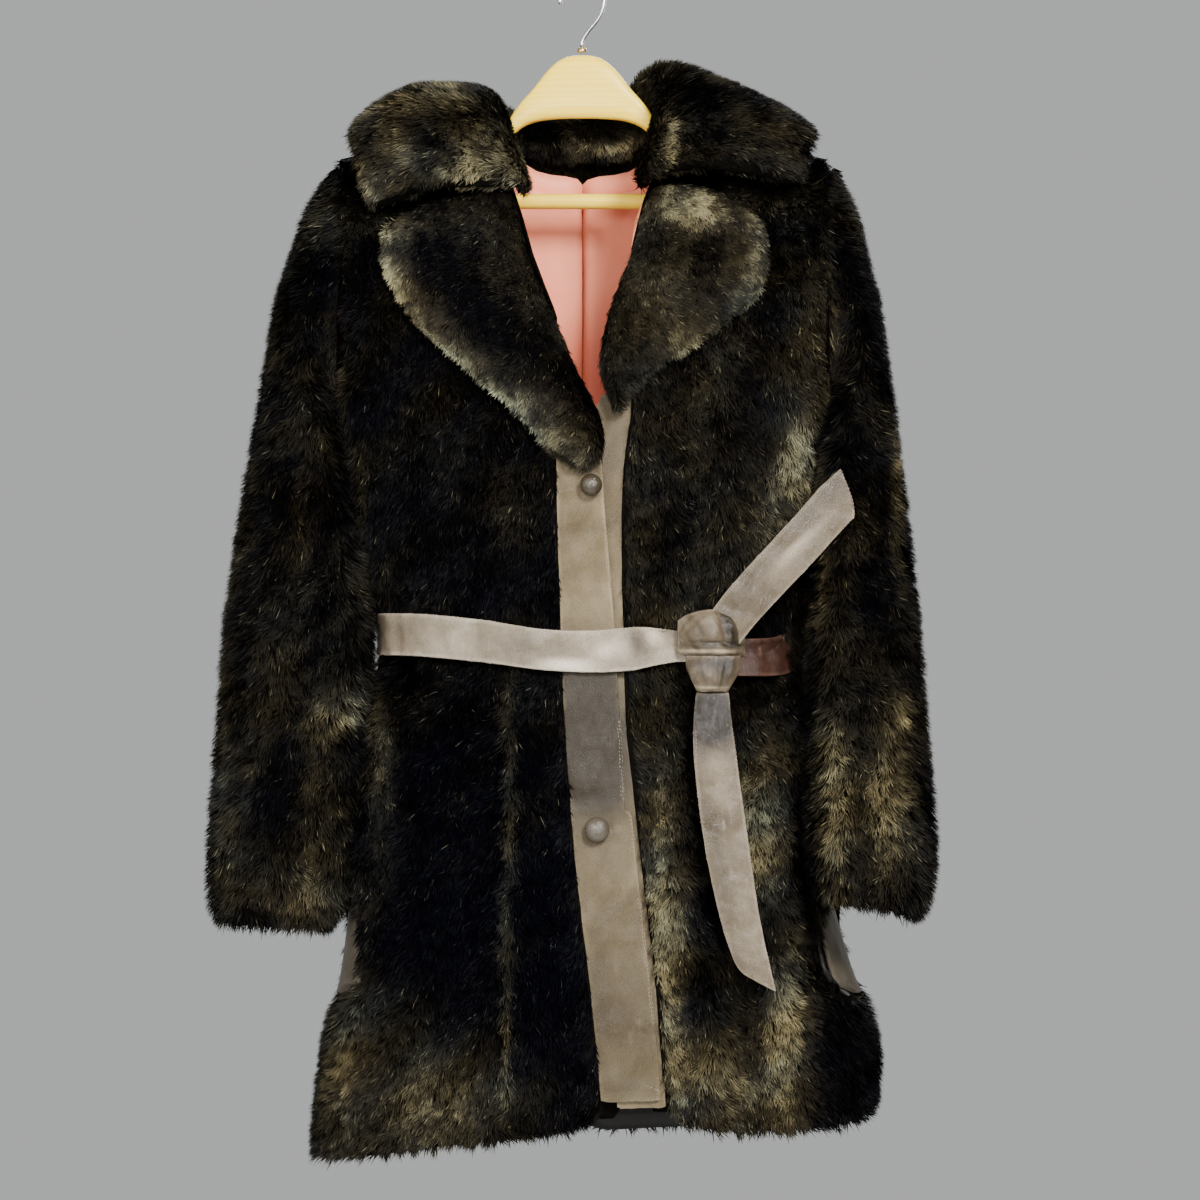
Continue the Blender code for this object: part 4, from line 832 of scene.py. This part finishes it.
def close_fold(name, points):
    """Moves collar and lapel to each other at the gorge, and the collar's halves at the back."""
    x, y, z = points.T  # views, so that the points move with them
    if name.startswith("lapel"):
        z += GORGE_SHIFT * ramp_up(z, -0.255, -0.215)
        return
    gorge = GORGE_LEFT if name.endswith("left") else GORGE_RIGHT
    z -= GORGE_SHIFT * (ramp_up(-z, -gorge - 0.03, -gorge) * ramp_up(-y, 0.02, 0.05))
    z += GORGE_SHIFT * (np.clip(1.0 - np.abs(x - 0.002) / 0.055, 0, 1) * (y > -0.02))
    away = np.abs(x)
    near_middle = np.clip(1.0 - away / 0.03, 0, 1)
    x -= np.sign(x) * np.minimum(0.011 * near_middle ** 2, away - 0.0003)


def fur_fold(name, mats, hidden):
    """The collar or a lapel: fur cloth folded back on itself, with pile outside."""
    points, tris = subdivided(*node_arrays(name), 2)
    normals = point_normals(points, tris)
    sunk = np.clip(0.26 * wall_behind(points, tris, normals), 0.0012, 0.007)
    sunk[(normals @ np.array(hidden)) > HIDDEN] *= 0.15
    gorge = np.exp(-((points[:, 2] - GORGE_LEFT) / 0.016) ** 2) * (points[:, 1] < -0.04)
    sunk = evened(sunk * (1.0 - 0.6 * gorge), tris, 6)
    points = points - normals * sunk[:, None]
    close_fold(name, points)
    shell = mesh_object("cloth_" + name, points, tris, [mats["backing"]])
    facing, _ = face_normals(points, tris)
    bare = facing @ np.array(hidden) > HIDDEN
    strands = pile(name, points, tris, sunk, mats["pile"], weight=np.where(bare, 0.05, 1.0))
    dress(shell, name)


# ---------------- leather


def loops_of(tris):
    """The open edges of a surface as loops of points, with the surface on their left."""
    after = {}
    edges = {(int(a), int(b)) for t in tris for a, b in ((t[0], t[1]), (t[1], t[2]), (t[2], t[0]))}
    for a, b in edges:
        if (b, a) not in edges:
            after[a] = b
    loops = []
    while after:
        start, at = next(iter(after.items()))
        loop = [start]
        del after[start]
        while at != start and at in after:
            loop.append(at)
            at = after.pop(at)
        loops.append(loop)
    return loops


def stitches(name, points, tris, mat, skip=None):
    """Rows of sewing just inside the edges of a leather piece."""
    normals = point_normals(points, tris)
    tree = surface_tree(points, tris)
    found = []
    for loop in loops_of(tris):
        ring = points[loop + [loop[0]]]
        steps = np.linalg.norm(np.diff(ring, axis=0), axis=1)
        if steps.sum() < SHORTEST_SEAM:
            continue
        spots = np.arange(0, steps.sum(), STITCH_PITCH)
        run = np.concatenate([[0], np.cumsum(steps)])
        line, up = (
            np.stack([np.interp(spots, run, column) for column in row[loop + [loop[0]]].T], 1)
            for row in (points, normals))
        way = unit(np.roll(line, -1, 0) - np.roll(line, 1, 0))
        inward = unit(np.cross(unit(up), way))
        for p, w, i in zip(line, way, inward):
            near = tree.find_nearest(Vector(p + i * STITCH_INSET))
            if near[0] is None or (skip is not None and skip(np.array(near[0]))):
                continue
            found.append((near[0][:], w, near[1][:]))
    centres, ways, ups = (np.array(column) for column in zip(*found))
    ups = unit(ups)
    ways = unit(ways - ups * (ways * ups).sum(1, keepdims=True))
    sides = np.cross(ups, ways)
    half, sunk = ways * STITCH / 2, ups * 0.0001
    corners = np.stack([
        centres - half - sunk, centres + sides * STITCH_WIDE, centres + ups * STITCH_HIGH,
        centres - sides * STITCH_WIDE, centres + half - sunk], 1).reshape(-1, 3)
    start = np.arange(len(centres))[:, None] * 5
    faces = np.stack([start + corner for corner in ((0, 1, 2), (0, 2, 3), (4, 2, 1), (4, 3, 2))], 1)
    ob = mesh_object("sewing_" + name, corners, faces.reshape(-1, 3), [mat])
    dress(ob)
    return ob


def cut_rows(points, tris, way, step):
    """The same surface with rows of points across it, one each step along a way."""
    shape = bmesh.new()
    verts = [shape.verts.new(place) for place in points]
    for tri in tris:
        shape.faces.new([verts[i] for i in tri])
    join_flat(shape, 20)
    way = unit(np.array(way, float))
    run = points @ way
    for at in np.arange(run.min() + step, run.max() - 0.5 * step, step):
        whole = shape.verts[:] + shape.edges[:] + shape.faces[:]
        bmesh.ops.bisect_plane(shape, geom=whole, dist=1e-5, plane_co=way * at, plane_no=way)
    bmesh.ops.triangulate(shape, faces=shape.faces[:])
    shape.verts.index_update()
    places = np.array([vert.co[:] for vert in shape.verts])
    corners = np.array([[vert.index for vert in face.verts] for face in shape.faces])
    shape.free()
    return places, corners


def add_painted_light_and_tone(ob, values):
    """The leather's paler and darker places, painted highlights and shade with its own tone, from 0 (dark)
    by 0.5 (as the material is) to 1 (pale).
    """
    layer = ob.data.attributes.new("wear", "FLOAT", "POINT")
    layer.data.foreach_set("value", np.clip(values, 0, 1).astype(np.float32))


def leather_piece(name, mats, thread=None, levels=2, rows=None, shift=None, second=None,
                  skip=None, rough=0.00045):
    """A leather band, strap or knot with soft creases, paler and darker places that hold painted
    highlights and shade with its own tone, a painted highlight along its edges, and stitching.

    rows cuts it finer along a way, shift moves its points, second says which faces have the second
    material, and skip where no sewing shows.
    """
    points, tris = subdivided(*node_arrays(name), levels, creased=True)
    if rows is not None:
        points, tris = cut_rows(points, tris, *rows)
    if shift is not None:
        points = shift(points)
    rng = seeded(name)
    normals = point_normals(points, tris)
    facing = np.clip(-normals[:, 1] * 1.5, 0, 1)
    out = rough * waves(points, (0.02, 0.02, 0.034), rng) + 0.5 * rough * waves(points, 0.011, rng)
    for x, z, wide, high, deep, slant in in_metres(CREASES.get(name, ()), 5):
        out = out - deep * spot(points, x, z, wide, high, slant)
    points = points + normals * (out * facing)[:, None]
    ob = mesh_object("leather_" + name, points, tris, mats)
    ob.data.set_sharp_from_angle(angle=math.radians(42))
    tone = np.zeros(len(points))
    for x, z, wide, high, more, slant in in_metres(PAINTED_LIGHT_SHADE_AND_TONE.get(name, ()), 4):
        tone += more * spot(points, x, z, wide, high, slant)
    front = compact(points, tris[outwardness(name, points, tris) > 0.35])
    rim = edge_places(*front)
    # A painted highlight along the edges of the leather's front
    if len(rim):
        tone += EDGE_HIGHLIGHT_TONE * np.exp(-(nearest(rim, points)[1] / EDGE_HIGHLIGHT_WIDTH) ** 2)
    add_painted_light_and_tone(ob, 0.5 + 0.5 * tone)
    if second is not None:
        ob.data.polygons.foreach_set("material_index", second(points[tris].mean(1)).astype(np.int32))
    dress(ob, name)
    with_it = [] if thread is None else [stitches(name, *front, thread, skip=skip)]


def belt_to_knot(points):
    """The belt's left part and its short right part drawn in to the knot."""
    x, front = points[:, 0], points[:, 1] < -0.05
    near = np.clip((x - 0.045) / 0.025, 0, 1) * (x < 0.095) * front
    beyond = np.clip((0.15 - x) / 0.02, 0, 1) * (x > BELT_BEYOND) * front
    moved = points.copy()
    moved[:, 0] += BELT_DRAWN * near
    moved[:, 2] = BELT_LINE + (moved[:, 2] - BELT_LINE) * (1.0 - 0.28 * near)
    moved[:, 0] -= BELT_DRAWN * beyond
    return moved


def tail_to_knot(points):
    """The upper tail drawn in to the knot."""
    along = (points[:, 0] - TAIL_START[0]) * 0.7 + (points[:, 2] - TAIL_START[1]) * 0.71
    near = np.clip(1.0 - along / TAIL_REACH, 0, 1)
    bow = np.sin(math.pi * np.clip(1.0 - near, 0, 1))[:, None]
    return points + near[:, None] * (-0.014, 0.003, -0.013) + bow * (0.004, 0.0, -0.004)


def throat_to_knot(points):
    """The knot's lower part drawn up under its band."""
    moved = points.copy()
    moved[:, 2] += THROAT_RAISED * ramp_up(points[:, 2], -0.594, -0.583)
    return moved


def sewn_from(z):
    """The line on the placket right of which the stitching runs."""
    return float(np.interp(z, (-0.955, -0.712, -0.71, -0.51, -0.36), (0.055, 0.033, 0.027, 0.015, 0.02)))


# ---------------- lining and hard parts


def lining_piece(name, mat):
    """One half of the back's lining: satin with creases and the pleat at its middle seam."""
    points, tris = subdivided(*one_side(name, inner=True), 2)
    points, tris = compact(points, tris[points[tris][:, :, 2].min(1) > LINING_LOW])
    normals = point_normals(points, tris)
    out = 0.0011 * waves(points, (0.034, 0.05, 0.16), seeded(name))
    fade = np.clip((points[:, 2] + 0.95) / 0.3, 0, 1)
    for x, wide, deep in PLEATS:
        out = out + deep * np.exp(-((points[:, 0] - x) / wide) ** 2) * fade
    inward = np.where(points[:, 1:2] > 0, (0, -1, 0), (0, 1, 0))
    if (normals * inward).sum() < 0:
        tris, normals = tris[:, ::-1], -normals
    points = points + normals * (out + 0.0004)[:, None]
    ob = mesh_object("satin_" + name, points, tris, [mat])
    mod = ob.modifiers.new("Cloth", "SOLIDIFY")
    mod.thickness = SATIN
    mod.offset = -1.0
    dress(ob, name)


def finer(name, new_name, mat, levels=1, creased=False, moved=(0, 0, 0)):
    """A smoother copy of a small hard part or cord."""
    points, tris = subdivided(*node_arrays(name), levels, creased)
    ob = mesh_object(new_name, points + moved, tris, [mat])
    ob.data.set_sharp_from_angle(angle=math.radians(50))
    add_painted_light_and_tone(ob, np.full(len(points), 0.5))
    dress(ob, name)


# ---------------- studio


def camera():
    """Looks straight at the front, as the photo does."""
    data = bpy.data.cameras.new("Camera")
    data.sensor_width = 36.0
    data.lens = data.sensor_width * CAMERA_AWAY / PICTURE_WIDTH
    data.clip_end = 50.0
    ob = add_object("Camera", data, (CAMERA_X, -CAMERA_AWAY, CAMERA_Z))
    ob.rotation_euler = (math.radians(90), 0.0, 0.0)
    bpy.context.scene.camera = ob


def lamp(name, place, target, power, size):
    data = bpy.data.lights.new(name, "AREA")
    data.energy = power
    data.size = size
    aim = Vector(target) - Vector(place)
    add_object(name, data, place).rotation_euler = aim.to_track_quat("-Z", "Y").to_euler()


def floor():
    """A plain pale disc far below the coat."""
    mesh = bpy.data.meshes.new("floor")
    shape = bmesh.new()
    bmesh.ops.create_circle(shape, cap_ends=True, segments=96, radius=FLOOR_RADIUS)
    shape.to_mesh(mesh)
    shape.free()
    mesh.materials.append(plain_material("pale floor", (0.72, 0.73, 0.72), 0.7))
    add_object("floor", mesh, (0.0, 0.0, FLOOR_Z))


def studio():
    world = bpy.data.worlds.new("Studio")
    world.use_nodes = True
    back = world.node_tree.nodes["Background"]
    back.inputs["Color"].default_value = (0.62, 0.64, 0.63, 1.0)
    back.inputs["Strength"].default_value = 0.75
    bpy.context.scene.world = world
    lamp("Key", (0.9, -2.5, 0.8), (0, 0, -0.5), 155, 0.7)
    lamp("Front", (0.05, -2.4, -0.1), (0, 0, -0.27), 18, 0.4)
    lamp("Fill", (-1.6, -2.1, 0.1), (0, 0, -0.5), 50, 1.4)
    lamp("Back", (0.4, 2.2, 0.8), (0, 0, -0.4), 70, 1.5)
    floor()


# ---------------- the whole coat


def fur():
    """The fronts, backs, sleeves, collar and lapels."""
    mats = {
        "pile": pile_material(), "backing": backing_material(),
        "inner satin": satin_material("inner satin", INNER_SATIN_HALF_WIDTH)}
    fur_panel("front_left", mats)
    fur_panel("front_right", mats)
    for side in SIDES:
        fur_panel("back_" + side, mats)
    fur_panel("sleeve_left", mats)
    fur_panel("sleeve_right", mats)
    for side in SIDES:
        fur_fold("collar_" + side, mats, (0, 0, -1))
    fur_fold("lapel_left", mats, (0, 1, 0))
    fur_fold("lapel_right", mats, (0, 1, 0))


def leather():
    """The placket, the side strips and the belt with its knot."""
    taupe = leather_material(
        "taupe leather", (0.085, 0.06, 0.03), (0.155, 0.116, 0.062), (0.25, 0.196, 0.116))
    side_mat = leather_material(
        "side leather", (0.03, 0.023, 0.014), (0.058, 0.046, 0.031), (0.11, 0.09, 0.062))
    belt = leather_material(
        "belt leather", (0.12, 0.09, 0.06), (0.225, 0.18, 0.125), (0.43, 0.37, 0.29), 0.3)
    reverse = leather_material(
        "belt reverse", (0.018, 0.007, 0.004), (0.045, 0.019, 0.012), (0.12, 0.065, 0.045), 0.36)
    tail = leather_material(
        "tail leather", (0.062, 0.043, 0.025), (0.128, 0.096, 0.06), (0.26, 0.212, 0.148), 0.28, 0.32)
    thread = thread_material("taupe thread", (0.26, 0.215, 0.15))

    leather_piece(
        "placket", [taupe], thread,
        rows=((0, 0, 1), 0.005), skip=lambda p: p[0] < sewn_from(p[2]))
    leather_piece("under_placket", [taupe])
    for side in SIDES:
        leather_piece("side_strip_" + side, [side_mat])
    leather_piece(
        "belt", [belt, reverse], thread,
        rows=((1, 0, 0), 0.005), shift=belt_to_knot,
        second=lambda c: (c[:, 0] > BELT_BEYOND) & (c[:, 1] < BELT_SIDE_Y),
        skip=lambda p: p[0] > BELT_BEYOND and p[1] < BELT_SIDE_Y)
    leather_piece(
        "tail_up", [tail], thread,
        rows=((0.7, 0, 0.71), 0.004), shift=tail_to_knot)
    leather_piece(
        "tail_down", [tail], thread,
        rows=((0, 0, 1), 0.004), skip=lambda p: p[2] > TAIL_SEWN_BELOW)
    leather_piece("knot_wrap", [tail], levels=3, rough=0.0007)
    leather_piece("knot_throat", [tail], levels=3, rough=0.0005, shift=throat_to_knot)


def lining():
    """The satin inside of the back."""
    satin = satin_material("satin", SATIN_HALF_WIDTH)
    lining_piece("lining_back_left", satin)
    lining_piece("lining_back_right", satin)


def small_parts():
    """The buttons, the belt loops and the hanger."""
    # The top button's darker leather is painted shade from the lapel above it
    top = leather_material(
        "button leather", (0.024, 0.017, 0.009), (0.06, 0.045, 0.024), (0.15, 0.12, 0.07), 0.2, 0.55)
    low = leather_material(
        "low button leather", (0.046, 0.036, 0.025), (0.08, 0.064, 0.045), (0.15, 0.125, 0.092), 0.2, 0.6)
    cord = thread_material("tan cord", (0.36, 0.2, 0.08))
    wood = wood_material()
    wire = metal_material("hook wire", (0.72, 0.72, 0.71), 0.16)
    brass = metal_material("ferrule brass", (0.7, 0.52, 0.24), 0.22)
    finer("button_top", "covered_button_top", top, levels=2)
    finer("button_low", "covered_button_low", low, levels=2)
    finer("belt_loop_left", "loop_left", cord, moved=(-0.004, -0.014, 0))
    finer("belt_loop_right", "loop_right", cord, moved=(0.004, -0.014, 0))
    finer("hanger_wood", "wooden_arms", wood, levels=2)
    finer("hanger_bar", "wooden_bar", wood, levels=2, creased=True)
    finer("hanger_hook", "wire_hook", wire)
    finer("hanger_ferrule", "ferrule", brass)


fur()
leather()
lining()
small_parts()
studio()
camera()
